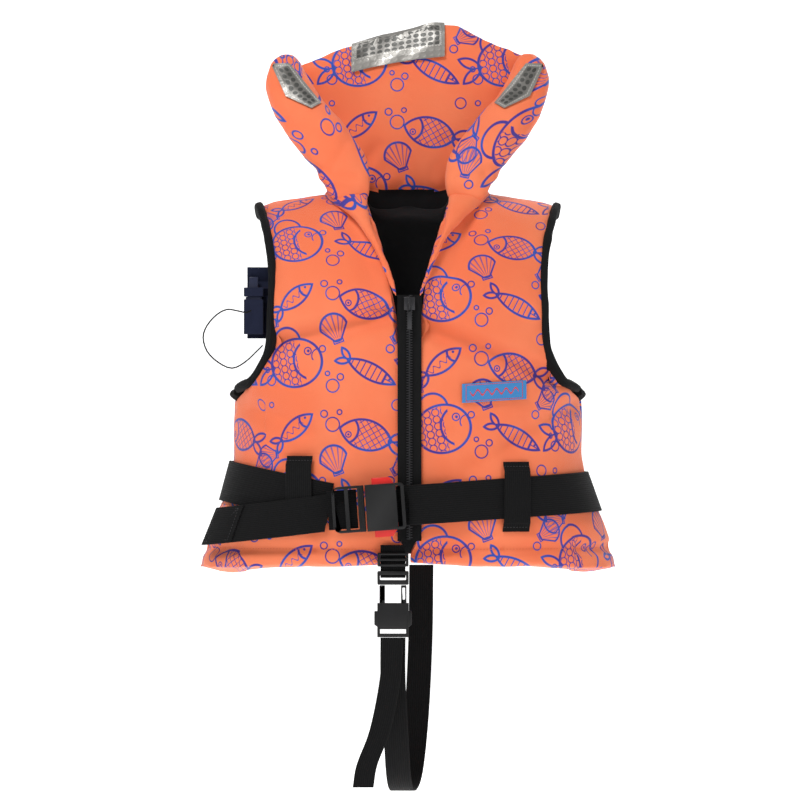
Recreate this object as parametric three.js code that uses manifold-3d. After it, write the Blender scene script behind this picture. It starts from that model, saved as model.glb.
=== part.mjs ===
// A child's foam life jacket, closed as it is worn, in millimetres.
// X runs to the right of the front view, Y to the back and Z up. The plane y = 0 holds the side seams
// and the shoulder seams, and the origin is at shoulder level on the middle line of the jacket.
// Shapes on the right side (x > 0) are drawn once and mirrored to make the left side.

import * as THREE from 'three';
import { mergeVertices } from 'three/addons/utils/BufferGeometryUtils.js';
import Module from 'manifold-3d';

const wasm = await Module();
wasm.setup();

// ---- Driving dimensions ----

// Body of the jacket
const FRONT_DEPTH = 112;
const BACK_DEPTH = 82;
const SQUARENESS = 2.3;
const HALF_HEM = 214;
const HALF_WAIST = 179;
const HALF_CHEST = 138;
const HALF_SHOULDER = 152;
const HALF_NECK = 41;
const HEM_Z = -366;
const ARMPIT_Z = -197;
const CHEST_Z = -110;
const NECK_SEAM_Z = 17;
const SHOULDER_TIP_Z = 0;
const FRONT_FOAM = 34;
const BACK_FOAM = 27;
const SHOULDER_FOAM = 17;
const CLOTH = 1.5;
const CLEARANCE = 1;
const SEAM_GAP = 0.2;

// Collar
const COLLAR_BASE_Z = 8;
const COLLAR_BASE_Y = 38;
const COLLAR_HEIGHT = 183;
const COLLAR_LEAN = 24;
const COLLAR_FOAM = 22;
const COLLAR_HALF_BASE = 62;
const COLLAR_HALF_TOP = 127;

// Zip
const ZIP_MIDDLE = 1.5;
const ZIP_TOP_Z = -95;
const ZIP_BOTTOM_Z = -341;
const ZIP_HALF = 11;
const ZIP_BEAD = 3.2;
const ZIP_TAPE = 1.2;
const ZIP_BEAD_THICKNESS = 2.6;

// Webbing
const BELT_WIDTH = 40;
const BELT_THICKNESS = 2;
const CROTCH_WIDTH = 25;
const CROTCH_THICKNESS = 1.6;
const KEEPER_WIDTH = 28;
const KEEPER_THICKNESS = 1.2;
const BELT_STANDOFF = 0.9;
const BELT_Z = -308;
const LOOP_BOTTOM_Z = -597;

// Buckles, as length along the webbing, width across it and thickness
const BELT_BUCKLE = {
  web: BELT_WIDTH,
  side: 3.2,
  thickness: 13,
  frameThickness: 7,
  frame: 33,
  frameSlots: [[-30, -20], [-16, -7]],
  housing: 39,
  arm: 0.8,
  button: [8, 32],
  buttonRise: 6.5,
  armHole: 0,
};
const CROTCH_BUCKLE = {
  web: CROTCH_WIDTH,
  side: 3.2,
  thickness: 10,
  frameThickness: 6,
  frame: 14,
  frameSlots: [[-10, -5]],
  housing: 34,
  arm: 18,
  button: [26, 44],
  buttonRise: 3,
  armHole: 12,
};
const BUCKLE_WALL = 2.2;
const BELT_BUCKLE_AT = new THREE.Vector3(-42.7, -(FRONT_DEPTH + 17), BELT_Z);
const BELT_SLOPE = 0.07;
const CROTCH_BUCKLE_AT = new THREE.Vector3(-15, -(FRONT_DEPTH + 2), HEM_Z - 19);

// Whistle
const WHISTLE = { width: 16, thickness: 9, height: 56 };
const WHISTLE_AT = new THREE.Vector3(-155.5, -70, -104);
const POUCH_WALL = 1;
const POUCH_GAP = 0.7;
const POUCH_HEIGHT = 34;
const CORD_RADIUS = 0.75;

// ---- Materials ----

function material(color, roughness, metalness = 0) {
  return new THREE.MeshStandardMaterial({ color, roughness, metalness });
}

const shellFabric = material(0xf27a4a, 0.85);
const liningFabric = material(0x17171b, 0.9);
const foam = material(0xf2efe6, 0.95);
const webbing = material(0x1a1a1d, 0.8);
const plastic = material(0x232326, 0.45);
const redPlastic = material(0xd8342b, 0.4);
const reflective = material(0xb9bdc0, 0.35);
const metal = material(0x4a4a4d, 0.4, 0.8);
const blueFabric = material(0x2878be, 0.8);
const whistlePlastic = material(0x1d2340, 0.4);

// ---- Building closed bodies from points ----

class Body {
  constructor() {
    this.points = [];
    this.faces = [];
  }

  add(points) {
    const first = this.points.length;
    this.points.push(...points);
    return points.map((_, k) => first + k);
  }

  quad(a, b, c, d) {
    this.faces.push(a, b, c, a, c, d);
  }

  // A grid of quads. The first columns, as many as turned says, are split on the other diagonal.
  sheet(ids, columns, rows, flipped, turned) {
    for (let j = 0; j < rows; j += 1) {
      for (let i = 0; i < columns; i += 1) {
        const k = j * (columns + 1) + i;
        const corners = [ids[k], ids[k + 1], ids[k + columns + 2], ids[k + columns + 1]];
        if (i < turned) corners.push(corners.shift());
        if (flipped) {
          this.faces.push(corners[0], corners[2], corners[1], corners[0], corners[3], corners[2]);
        } else {
          this.quad(...corners);
        }
      }
    }
  }

  // Quads between two loops. The last ones, as many as turned says, are split on the other diagonal.
  band(from, to, turned = 0) {
    from.forEach((_, k) => {
      const next = (k + 1) % from.length;
      const corners = [from[next], from[k], to[k], to[next]];
      if (k >= from.length - turned) corners.push(corners.shift());
      this.quad(...corners);
    });
  }

  cap(loop, flipped) {
    for (let k = 1; k < loop.length - 1; k += 1) {
      if (flipped) {
        this.faces.push(loop[0], loop[k + 1], loop[k]);
      } else {
        this.faces.push(loop[0], loop[k], loop[k + 1]);
      }
    }
  }

  // The finished geometry, turned so that its faces point out.
  geometry() {
    let volume = 0;
    for (let k = 0; k < this.faces.length; k += 3) {
      const [a, b, c] = [0, 1, 2].map((n) => this.points[this.faces[k + n]]);
      volume += a.dot(b.clone().cross(c));
    }
    const faces = volume < 0 ? [...this.faces].reverse() : this.faces;
    const made = new THREE.BufferGeometry();
    const flat = this.points.flatMap((p) => [p.x, p.y, p.z]);
    made.setAttribute('position', new THREE.Float32BufferAttribute(flat, 3));
    made.setIndex(faces);
    made.computeVertexNormals();
    return made;
  }
}

function gridPoints(columns, rows, pointAt) {
  const points = [];
  for (let j = 0; j <= rows; j += 1) {
    for (let i = 0; i <= columns; i += 1) {
      points.push(pointAt(i / columns, j / rows));
    }
  }
  return points;
}

// Places around a grid's border, in one turn, as [column, row] pairs.
function borderPlaces(columns, rows) {
  const places = [];
  for (let i = 0; i < columns; i += 1) places.push([i, 0]);
  for (let j = 0; j < rows; j += 1) places.push([columns, j]);
  for (let i = columns; i > 0; i -= 1) places.push([i, rows]);
  for (let j = rows; j > 0; j -= 1) places.push([0, j]);
  return places;
}

// A body between two sheets that share one grid: outer(s, t) and inner(s, t).
function slab(columns, rows, outer, inner, turned = 0) {
  const body = new Body();
  const top = body.add(gridPoints(columns, rows, outer));
  const bottom = body.add(gridPoints(columns, rows, inner));
  const places = borderPlaces(columns, rows);
  const rim = (ids) => places.map(([i, j]) => ids[j * (columns + 1) + i]);
  body.sheet(top, columns, rows, false, turned);
  body.sheet(bottom, columns, rows, true, turned);
  body.band(rim(top), rim(bottom), turned ? rows : 0);
  return body.geometry();
}

// A tray: a sheet with a wall round its border, open on the far side. at(s, t, depth, inset).
function tray(columns, rows, at, depthAt, wall, turned) {
  const body = new Body();
  const places = borderPlaces(columns, rows);
  const rim = (ids) => places.map(([i, j]) => ids[j * (columns + 1) + i]);
  const loop = (inset) => body.add(
    places.map(([i, j]) => at(i / columns, j / rows, depthAt(j / rows), inset)),
  );
  const outside = body.add(gridPoints(columns, rows, (s, t) => at(s, t, 0, 0)));
  const outerRim = loop(0);
  const innerRim = loop(wall);
  const inside = body.add(gridPoints(columns, rows, (s, t) => at(s, t, wall, wall)));
  body.sheet(outside, columns, rows, false, turned);
  const turnedWall = turned ? rows : 0;
  body.band(rim(outside), outerRim, turnedWall);
  body.band(outerRim, innerRim, turnedWall);
  body.band(innerRim, rim(inside), turnedWall);
  body.sheet(inside, columns, rows, true, turned);
  return body.geometry();
}

// A body through a row of rings with the same number of points. Rings that turn back make a hollow.
function loft(rings) {
  const body = new Body();
  const loops = rings.map((ring) => body.add(ring));
  for (let k = 0; k < loops.length - 1; k += 1) {
    body.band(loops[k], loops[k + 1]);
  }
  body.cap(loops[0], false);
  body.cap(loops[loops.length - 1], true);
  return body.geometry();
}

function vec(x, y, z) {
  return new THREE.Vector3(x, y, z);
}

function mix(a, b, f) {
  return a + (b - a) * f;
}

function mirrored(geometry) {
  const copy = geometry.clone();
  copy.scale(-1, 1, 1);
  copy.setIndex([...copy.index.array].reverse());
  copy.computeVertexNormals();
  return copy;
}

// ---- Booleans ----

function toSolid(geometry) {
  const bare = geometry.clone();
  bare.deleteAttribute('normal');
  bare.deleteAttribute('uv');
  const merged = mergeVertices(bare, 1e-4);
  return new wasm.Manifold(new wasm.Mesh({
    numProp: 3,
    vertProperties: new Float32Array(merged.attributes.position.array),
    triVerts: new Uint32Array(merged.index.array),
  }));
}

function fromSolid(solid) {
  const mesh = solid.getMesh();
  const made = new THREE.BufferGeometry();
  made.setAttribute('position', new THREE.BufferAttribute(new Float32Array(mesh.vertProperties), 3));
  made.setIndex(new THREE.BufferAttribute(new Uint32Array(mesh.triVerts), 1));
  made.computeVertexNormals();
  return made;
}

function cutAway(geometry, tools) {
  return fromSolid(tools.reduce((left, tool) => left.subtract(toSolid(tool)), toSolid(geometry)));
}

function joined(geometries) {
  return fromSolid(geometries.map(toSolid).reduce((all, one) => all.add(one)));
}

// A box given by its two corners on each axis.
function box([x0, x1], [y0, y1], [z0, z1]) {
  const made = new THREE.BoxGeometry(x1 - x0, y1 - y0, z1 - z0);
  made.translate((x0 + x1) / 2, (y0 + y1) / 2, (z0 + z1) / 2);
  return made;
}

// A flat plate whose outline is drawn in X and Z, centred on y = 0.
function plate(shape, thickness) {
  const made = new THREE.ExtrudeGeometry(shape, { depth: thickness, bevelEnabled: false, curveSegments: 5 });
  made.rotateX(Math.PI / 2);
  made.translate(0, thickness / 2, 0);
  return made;
}

// ---- Shape of the body ----

// The sides from the hem up to the armpit, as height and half width.
const SIDE_ROWS = [
  [HEM_Z, HALF_HEM],
  [HEM_Z + 18, HALF_HEM - 4],
  [HEM_Z + 48, HALF_HEM - 16],
  [HEM_Z + 76, HALF_WAIST + 5],
  [HEM_Z + 111, HALF_WAIST - 1],
  [HEM_Z + 141, HALF_WAIST + 1],
  [ARMPIT_Z, HALF_WAIST],
];
// The armhole's edge above the armpit, as height and distance from the middle.
const ARMHOLE_ROWS = [
  [ARMPIT_Z + 3, HALF_WAIST - 3],
  [ARMPIT_Z + 7, HALF_WAIST - 8],
  [ARMPIT_Z + 13, HALF_WAIST - 16],
  [ARMPIT_Z + 19, HALF_CHEST + 18],
  [ARMPIT_Z + 47, HALF_CHEST + 3],
];
// The chest up to the shoulder seam, as share of a quarter turn, neck edge and armhole edge.
const SHOULDER_ROWS = [
  [0, 12, HALF_CHEST],
  [0.12, 15.5, HALF_CHEST - 0.7],
  [0.25, 20, HALF_CHEST - 1],
  [0.38, HALF_NECK - 15.5, HALF_CHEST + 1],
  [0.5, HALF_NECK - 10, HALF_CHEST + 4],
  [0.6, HALF_NECK - 5, HALF_CHEST + 6.5],
  [0.7, HALF_NECK - 1, HALF_SHOULDER - 5],
  [0.78, HALF_NECK, HALF_SHOULDER - 3.3],
  [0.85, HALF_NECK, HALF_SHOULDER - 2],
  [0.93, HALF_NECK, HALF_SHOULDER - 0.8],
  [1, HALF_NECK, HALF_SHOULDER],
];
const HEM_DROP = 6;
const FRONT_EDGE = 8.5;
const BACK_TOP_TURN = 0.7;

function shoulderRow([turn, inner, outer]) {
  const angle = turn * Math.PI / 2;
  const innerZ = mix(CHEST_Z, NECK_SEAM_Z, Math.sin(angle));
  const outerZ = mix(CHEST_Z, SHOULDER_TIP_Z, Math.sin(angle));
  return [inner, innerZ, outer, outerZ, HALF_WAIST, Math.cos(angle)];
}

const sideRows = SIDE_ROWS.map(([z, half], k) => [FRONT_EDGE, z, half, k ? z : z - HEM_DROP, half, 1]);
const armholeRows = ARMHOLE_ROWS.map(([z, outer]) => [FRONT_EDGE, z, outer, z, HALF_WAIST, 1]);
const shoulderRows = SHOULDER_ROWS.map(shoulderRow);
const frontRows = [...sideRows, ...armholeRows, ...shoulderRows];
const backTop = SHOULDER_ROWS.findIndex(([turn]) => turn === BACK_TOP_TURN);
const backRows = [...sideRows, ...armholeRows, ...shoulderRows.slice(0, backTop + 1)];
const padRows = shoulderRows.slice(backTop);

function rowAt(rows, t) {
  const place = Math.min(t, 0.999999) * (rows.length - 1);
  const k = Math.floor(place);
  return rows[k].map((value, n) => mix(value, rows[k + 1][n], place - k));
}

function halfWidthAt(z) {
  const upper = SIDE_ROWS.findIndex(([height]) => height > z);
  if (upper < 0) return HALF_WAIST;
  const [z0, w0] = SIDE_ROWS[Math.max(upper - 1, 0)];
  const [z1, w1] = SIDE_ROWS[Math.max(upper, 1)];
  return mix(w0, w1, (z - z0) / (z1 - z0));
}

// A point on the plan curve: angle 0 at the right side seam, a quarter turn at the middle.
function onPlan(angle, half, depth, z) {
  const x = half * Math.sign(Math.cos(angle)) * Math.abs(Math.cos(angle)) ** (2 / SQUARENESS);
  const y = depth * Math.sign(Math.sin(angle)) * Math.abs(Math.sin(angle)) ** (2 / SQUARENESS);
  return vec(x, y, z);
}

function planAngle(x, half) {
  return Math.acos(Math.min(1, x / half) ** (SQUARENESS / 2));
}

// A surface with an outward normal. point(s, t) gives its places, keep(p, inset) holds them on their side,
// and slant(t) is how much wider an inset is at a row where the side edge runs aslant.
function surface(point, middle, keep, slant = () => 1, twoSided = false) {
  const normal = (s, t) => {
    const e = 0.012;
    const across = point(s + e, t).sub(point(s - e, t));
    const along = point(s, Math.min(t + e, 1)).sub(point(s, Math.max(t - e, 0)));
    const n = across.cross(along).normalize();
    return n.dot(point(s, t).sub(middle)) < 0 ? n.negate() : n;
  };
  const length = (from, to) => {
    let sum = 0;
    for (let k = 0; k < 8; k += 1) {
      sum += from(k / 8).distanceTo(to((k + 1) / 8));
    }
    return sum;
  };
  const at = (s, t, depth, inset) => {
    const width = length((f) => point(f, t), (f) => point(f, t));
    const height = length((f) => point(s, f), (f) => point(s, f));
    const side = inset * slant(t) / width;
    const u = mix(twoSided ? side : inset / width, 1 - side, s);
    const v = mix(inset / height, 1 - inset / height, t);
    return keep(point(u, v).addScaledVector(normal(u, v), -depth), inset);
  };
  return { point, normal, at };
}

const BODY_MIDDLE = vec(0, 0, -200);

function keepFront(p, inset) {
  p.y = Math.min(p.y, -(SEAM_GAP + inset));
  return p;
}

function keepBack(p, inset) {
  p.y = Math.max(p.y, SEAM_GAP + inset);
  return p;
}

const ARMPIT_ROW = SIDE_ROWS.length - 1;
const ARMPIT_SLANTS = [6, 6, 3.9, 2.8, 2.1, 1.2];

function slantOf(rows) {
  return (t) => ARMPIT_SLANTS[Math.round(t * (rows.length - 1)) - ARMPIT_ROW] ?? 1;
}

function halfPanel(rows, depth, keep) {
  return surface((s, t) => {
    const [inner, innerZ, outer, outerZ, half, full] = rowAt(rows, t);
    const angle = mix(planAngle(inner, half), planAngle(outer, half), s);
    return onPlan(angle, half, depth * full, mix(innerZ, outerZ, s));
  }, BODY_MIDDLE, keep, rows === padRows ? undefined : slantOf(rows));
}

const frontRight = halfPanel(frontRows, -FRONT_DEPTH, keepFront);
const padRight = halfPanel(padRows, BACK_DEPTH, keepBack);
const backPanel = surface((s, t) => {
  const [, innerZ, outer, outerZ, half, full] = rowAt(backRows, t);
  const edge = planAngle(outer, half);
  const angle = mix(edge, Math.PI - edge, s);
  return onPlan(angle, half, BACK_DEPTH * full, mix(innerZ, outerZ, Math.abs(2 * s - 1)));
}, BODY_MIDDLE, keepBack, slantOf(backRows), true);

const COLLAR_TOP = new THREE.SplineCurve([
  new THREE.Vector2(-COLLAR_HALF_TOP, -42),
  new THREE.Vector2(-104, -24),
  new THREE.Vector2(-67, -10),
  new THREE.Vector2(-15, 0),
  new THREE.Vector2(38, 8),
  new THREE.Vector2(97, -10),
  new THREE.Vector2(COLLAR_HALF_TOP, -27),
]);
const COLLAR_BOW = 8;

const collarPad = surface((s, t) => {
  const top = COLLAR_TOP.getPoint(THREE.MathUtils.clamp(s, 0, 1));
  const half = mix(COLLAR_HALF_BASE, COLLAR_HALF_TOP, Math.sin(t * Math.PI / 2));
  const x = mix(-half, half, s);
  const y = COLLAR_BASE_Y + COLLAR_LEAN * t - COLLAR_BOW * (x / COLLAR_HALF_TOP) ** 2;
  return vec(x, y, COLLAR_BASE_Z + t * (COLLAR_HEIGHT + top.y));
}, vec(0, 500, 100), (p) => p);

// ---- Jacket pieces ----

const jacket = new THREE.Group();
jacket.name = 'life_jacket';

function put(name, geometry, look, parent = jacket) {
  const mesh = new THREE.Mesh(geometry, look);
  mesh.name = name;
  parent.add(mesh);
  return mesh;
}

// A padded panel as cover, foam and lining, each clear of the next.
function paddedPanel(panel, columns, rows, foamAt, turned = 0) {
  const inset = CLOTH + CLEARANCE;
  const foamEnd = (t) => CLOTH + CLEARANCE + foamAt(t);
  const depthAt = (t) => foamEnd(t) + CLEARANCE + CLOTH;
  return {
    cover: tray(columns, rows, panel.at, depthAt, CLOTH, turned),
    foam: slab(
      columns,
      rows,
      (s, t) => panel.at(s, t, CLOTH + CLEARANCE, inset),
      (s, t) => panel.at(s, t, foamEnd(t), inset),
      turned,
    ),
    lining: slab(
      columns,
      rows,
      (s, t) => panel.at(s, t, foamEnd(t) + CLEARANCE, inset),
      (s, t) => panel.at(s, t, depthAt(t), inset),
      turned,
    ),
  };
}

// The foam keeps its thickness up to the chest row and thins from there to the top.
function fromChest(thick, rows) {
  const chest = (sideRows.length + armholeRows.length) / (rows.length - 1);
  return (t) => mix(thick, SHOULDER_FOAM, THREE.MathUtils.smoothstep(t, chest, 1));
}

const front = paddedPanel(frontRight, 8, frontRows.length - 1, fromChest(FRONT_FOAM, frontRows));
const frontSides = [['right', (g) => g], ['left', mirrored]];
for (const [side, turned] of frontSides) {
  put(`front_${side}_cover`, turned(front.cover), shellFabric);
  put(`front_${side}_foam`, turned(front.foam), foam);
  put(`front_${side}_lining`, turned(front.lining), liningFabric);
}

const BACK_COLUMNS = 18;
const back = paddedPanel(backPanel, BACK_COLUMNS, backRows.length - 1, fromChest(BACK_FOAM, backRows), BACK_COLUMNS / 2);
put('back_cover', back.cover, shellFabric);
put('back_foam', back.foam, foam);
put('back_lining', back.lining, liningFabric);

// The shoulder pads run from the top of the back panel to the shoulder seams.
const PAD_START = 0.2;
const PAD_THICKNESS = 16;
const shoulderPad = slab(
  6,
  4,
  (s, t) => padRight.at(s, mix(PAD_START, 1, t), 0, 0),
  (s, t) => padRight.at(s, mix(PAD_START, 1, t), PAD_THICKNESS, 0),
);
for (const [side, turned] of frontSides) {
  put(`shoulder_pad_${side}`, turned(shoulderPad), shellFabric);
}

// Armhole bindings follow the open edge of a panel, from the side seam to the shoulder seam.
const BINDING_WIDTH = 10;
const BINDING_THICKNESS = 2.6;
const BINDING_GAP = 0.6;
const BINDING_INSET = 2;
const BINDING_START = 0.3;

// Rings stand at the panel's own rows, so that a binding turns where the panel's edge turns.
function binding(panel, rows, keep, hand) {
  const last = rows.length - 1;
  const edge = (place) => {
    const k = Math.min(Math.floor(place), last - 1);
    const ends = [k / last, (k + 1) / last];
    const [p, next] = ends.map((t) => panel.point(1, t));
    const [n, nextN] = ends.map((t) => panel.normal(1, t));
    return [p.lerp(next, place - k), n.lerp(nextN, place - k)];
  };
  const places = [ARMPIT_ROW + BINDING_START];
  for (let k = ARMPIT_ROW + 1; k <= last; k += 1) places.push(k);
  return loft(places.map((place, k) => {
    const [p, n] = edge(place);
    const before = edge(places[Math.max(k - 1, 0)])[0];
    const after = edge(places[Math.min(k + 1, places.length - 1)])[0];
    const out = after.sub(before).cross(n).normalize().multiplyScalar(hand);
    const corner = (side, depth) => keep(p.clone().addScaledVector(out, side).addScaledVector(n, -depth), 0.3);
    const far = BINDING_GAP + BINDING_THICKNESS;
    return [
      corner(BINDING_GAP, BINDING_INSET + BINDING_WIDTH),
      corner(far, BINDING_INSET + BINDING_WIDTH),
      corner(far, BINDING_INSET),
      corner(BINDING_GAP, BINDING_INSET),
    ];
  }));
}

const frontBinding = binding(frontRight, frontRows, keepFront, 1);
for (const [side, turned] of frontSides) {
  put(`armhole_binding_front_${side}`, turned(frontBinding), webbing);
}
const backHalf = halfPanel(backRows, BACK_DEPTH, keepBack);
const backBinding = binding(backHalf, backRows, keepBack, -1);
for (const [side, turned] of frontSides) {
  put(`armhole_binding_back_${side}`, turned(backBinding), webbing);
}

// Lapels: the tapering folds that run from the collar wings down to the top of the zip.
// Each row is its height, its neck edge, its outer edge and how far it stands off the panel.
const LAPEL_ROWS = [
  [8, HALF_NECK + 1, HALF_NECK + 38, 13],
  [-3, HALF_NECK - 2, HALF_NECK + 16, 8],
  [-18, HALF_NECK - 7, HALF_NECK + 4, 5],
  [-34, HALF_NECK - 12, HALF_NECK - 6, 4],
  [-48, HALF_NECK - 18, HALF_NECK - 13, 4],
];
const LAPEL_THICKNESS = 6;

function frontY(x, z) {
  const seamZ = mix(NECK_SEAM_Z, SHOULDER_TIP_Z, (x - HALF_NECK) / (HALF_SHOULDER - HALF_NECK));
  const rise = THREE.MathUtils.clamp((z - CHEST_Z) / (seamZ - CHEST_Z), 0, 1);
  return onPlan(planAngle(x, HALF_WAIST), HALF_WAIST, -FRONT_DEPTH * Math.sqrt(1 - rise * rise), z).y;
}

const lapel = loft(LAPEL_ROWS.map(([z, inner, outer, standoff]) => [
  vec(inner, frontY(inner, z) - standoff, z),
  vec(outer, frontY(outer, z) - standoff, z),
  vec(outer, frontY(outer, z) - standoff - LAPEL_THICKNESS / 2, z),
  vec(inner, frontY(inner, z) - standoff - LAPEL_THICKNESS, z),
]));
for (const [side, turned] of frontSides) {
  put(`lapel_${side}`, turned(lapel), shellFabric);
}

// ---- Collar ----

const collar = paddedPanel(collarPad, 10, 5, () => COLLAR_FOAM);
put('collar_front_cover', collar.cover, shellFabric);
put('collar_foam', collar.foam, foam);
put('collar_rear_cover', collar.lining, shellFabric);

// Stations of a collar wing from its top: outer edge x and z, inner edge x and z, middle y, half thickness.
const WING_STATIONS = [
  [140, 146, 122, 148, 42, 9],
  [146, 120, 105, 128, 33, 13],
  [139, 99, 88, 106, 18, 16],
  [123, 71, 67, 80, -4, 17],
  [102, 46, 47, 58, -24, 16],
  [89, 29, 41, 35, -37, 12],
];
const WING_SIDES = 12;

function wingFrame(u) {
  const [ox, oz, ix, iz, y, thick] = rowAt(WING_STATIONS, u);
  return { middle: vec((ox + ix) / 2, y, (oz + iz) / 2), half: vec((ox - ix) / 2, 0, (oz - iz) / 2), thick };
}

function wingPoint(u, angle, grow) {
  const { middle, half, thick } = wingFrame(u);
  const along = wingFrame(Math.min(u + 0.05, 1)).middle.sub(wingFrame(Math.max(u - 0.05, 0)).middle);
  const out = along.cross(half).normalize();
  const wide = half.length();
  return middle
    .addScaledVector(half, Math.cos(angle) * (wide + grow) / wide)
    .addScaledVector(out, Math.sin(angle) * (thick + grow));
}

function wingRings(from, to, steps, grow) {
  const rings = [];
  for (let k = 0; k <= steps; k += 1) {
    const ring = [];
    for (let n = 0; n < WING_SIDES; n += 1) {
      ring.push(wingPoint(mix(from, to, k / steps), 2 * Math.PI * n / WING_SIDES, grow));
    }
    rings.push(ring);
  }
  return rings;
}

const wingCover = loft([...wingRings(0, 1, 5, 0), ...wingRings(1, 0.03, 5, -CLOTH)]);
const wingFoam = loft(wingRings(0.98, 0.06, 5, -CLOTH - CLEARANCE));
const patchAt = (s, t, grow) => wingPoint(mix(0.04, 0.44, t), mix(0.12, 0.88, s) * Math.PI, grow);
const flipSide = wingPoint(0.5, Math.PI / 2, 0).y > wingPoint(0.5, -Math.PI / 2, 0).y ? -1 : 1;
const wingPatch = slab(
  5,
  3,
  (s, t) => patchAt(flipSide * s, t, 2.4),
  (s, t) => patchAt(flipSide * s, t, 1.4),
);
for (const [side, turned] of frontSides) {
  put(`collar_wing_${side}_cover`, turned(wingCover), shellFabric);
  put(`collar_wing_${side}_foam`, turned(wingFoam), foam);
  put(`reflective_patch_${side}`, turned(wingPatch), reflective);
}

// The middle reflective patch lies on the collar's face, up to its top edge.
const MIDDLE_PATCH = { across: [0.27, 0.655], up: [0.76, 0.99] };
const middlePatchAt = (off) => (s, t) => (
  collarPad.at(mix(...MIDDLE_PATCH.across, s), mix(...MIDDLE_PATCH.up, t), -off, 0)
);
const middlePatch = slab(4, 2, middlePatchAt(2 * CLEARANCE), middlePatchAt(CLEARANCE));
put('reflective_patch_middle', middlePatch, reflective);

// ---- Zip ----

const zipFace = -(FRONT_DEPTH + CLEARANCE);

function zipTape(sign) {
  const x = (distance) => ZIP_MIDDLE + sign * distance;
  const shape = new THREE.Shape();
  shape.moveTo(x(0.3), zipFace);
  shape.lineTo(x(ZIP_HALF), zipFace);
  shape.lineTo(x(ZIP_HALF), zipFace - ZIP_TAPE);
  shape.lineTo(x(ZIP_BEAD), zipFace - ZIP_TAPE);
  shape.lineTo(x(ZIP_BEAD), zipFace - ZIP_BEAD_THICKNESS);
  shape.lineTo(x(0.3), zipFace - ZIP_BEAD_THICKNESS);
  shape.closePath();
  const made = new THREE.ExtrudeGeometry(shape, { depth: ZIP_TOP_Z - ZIP_BOTTOM_Z, bevelEnabled: false });
  made.translate(0, 0, ZIP_BOTTOM_Z);
  return made;
}

put('zip_tape_right', zipTape(1), webbing);
put('zip_tape_left', zipTape(-1), webbing);

// The slider's front plate carries an arch, and the pull's top bar turns inside the arch.
const SLIDER_HALF = 5.5;
const SLIDER_LENGTH = 13;
const SLIDER_PLATE = 2.2;
const ARCH_HALF = 0.8;
const ARCH_RISE = 4.2;
const PULL_BAR = 1.5;
const PULL_HALF = 2.2;
const PULL_LENGTH = 26;
const sliderBack = zipFace - ZIP_BEAD_THICKNESS - 0.5;
const sliderFront = sliderBack - SLIDER_PLATE;
const sliderTop = ZIP_TOP_Z - 2;
const archMiddleZ = sliderTop - SLIDER_LENGTH / 2;
const pullY = sliderFront - ARCH_RISE / 2 + 0.3;
const sliderX = (half) => [ZIP_MIDDLE - half, ZIP_MIDDLE + half];
const slider = cutAway(
  joined([
    box(sliderX(SLIDER_HALF), [sliderFront, sliderBack], [sliderTop - SLIDER_LENGTH, sliderTop]),
    box(sliderX(ARCH_HALF), [sliderFront - ARCH_RISE, sliderFront + 1], [archMiddleZ - 4, archMiddleZ + 4]),
  ]),
  [box(
    sliderX(ARCH_HALF + 1),
    [pullY - PULL_BAR / 2 - 0.5, pullY + PULL_BAR / 2 + 0.5],
    [archMiddleZ - 2.4, archMiddleZ + 2.4],
  )],
);
put('zip_slider', slider, metal);

const pullWindow = box(
  sliderX(ARCH_HALF + 0.4),
  [pullY - 3, pullY + 3],
  [archMiddleZ - 9, archMiddleZ - PULL_BAR / 2],
);
const pull = cutAway(
  box(
    sliderX(PULL_HALF),
    [pullY - PULL_BAR / 2, pullY + PULL_BAR / 2],
    [archMiddleZ - PULL_LENGTH, archMiddleZ + PULL_BAR / 2],
  ),
  [pullWindow],
);
put('zip_pull', pull, metal);

// ---- Belt webbing ----

// A place on the outside of the body, off it by a distance. side is 1 on the right and -1 on the left.
function offBody(side, depth, angle, z, off) {
  const half = halfWidthAt(z);
  const p = onPlan(angle, half, depth, z);
  const nx = Math.sign(p.x) * (Math.abs(p.x) / half) ** (SQUARENESS - 1) / half;
  const ny = Math.sign(depth) * (p.y / depth) ** (SQUARENESS - 1) / Math.abs(depth);
  const size = Math.hypot(nx, ny);
  return vec(side * (p.x + off * nx / size), p.y + off * ny / size, z);
}

// A band of webbing round the body: zAt gives its middle height and offAt its distance at each angle.
function bodyBand(side, depth, from, to, steps, width, thickness, zAt, offAt, keep) {
  const rings = [];
  for (let k = 0; k <= steps; k += 1) {
    const angle = mix(from, to, k / steps);
    const place = (dz, off) => keep(offBody(side, depth, angle, zAt(angle) + dz, offAt(angle) + off), 0.3);
    rings.push([
      place(-width / 2, 0),
      place(width / 2, 0),
      place(width / 2, thickness),
      place(-width / 2, thickness),
    ]);
  }
  return loft(rings);
}

// The belt stands further off where it crosses the zip, so that the slider passes behind it.
const ZIP_CROSSING = 10.4;
const overZip = (angle) => BELT_STANDOFF + ZIP_CROSSING * THREE.MathUtils.smoothstep(angle, 1.25, 1.45);
const beltZ = (side, x) => BELT_BUCKLE_AT.z + 3 + (side > 0 ? 0.064 * x : 0.19 * (x - 70));
const bandX = (angle) => halfWidthAt(BELT_Z) * Math.cos(angle) ** (2 / SQUARENESS);
const beltEnd = (x) => planAngle(x, halfWidthAt(BELT_Z));

put('belt_right_run', bodyBand(
  1,
  -FRONT_DEPTH,
  0,
  beltEnd(0.6),
  16,
  BELT_WIDTH,
  BELT_THICKNESS,
  (angle) => beltZ(1, bandX(angle)),
  overZip,
  keepFront,
), webbing);

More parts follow.
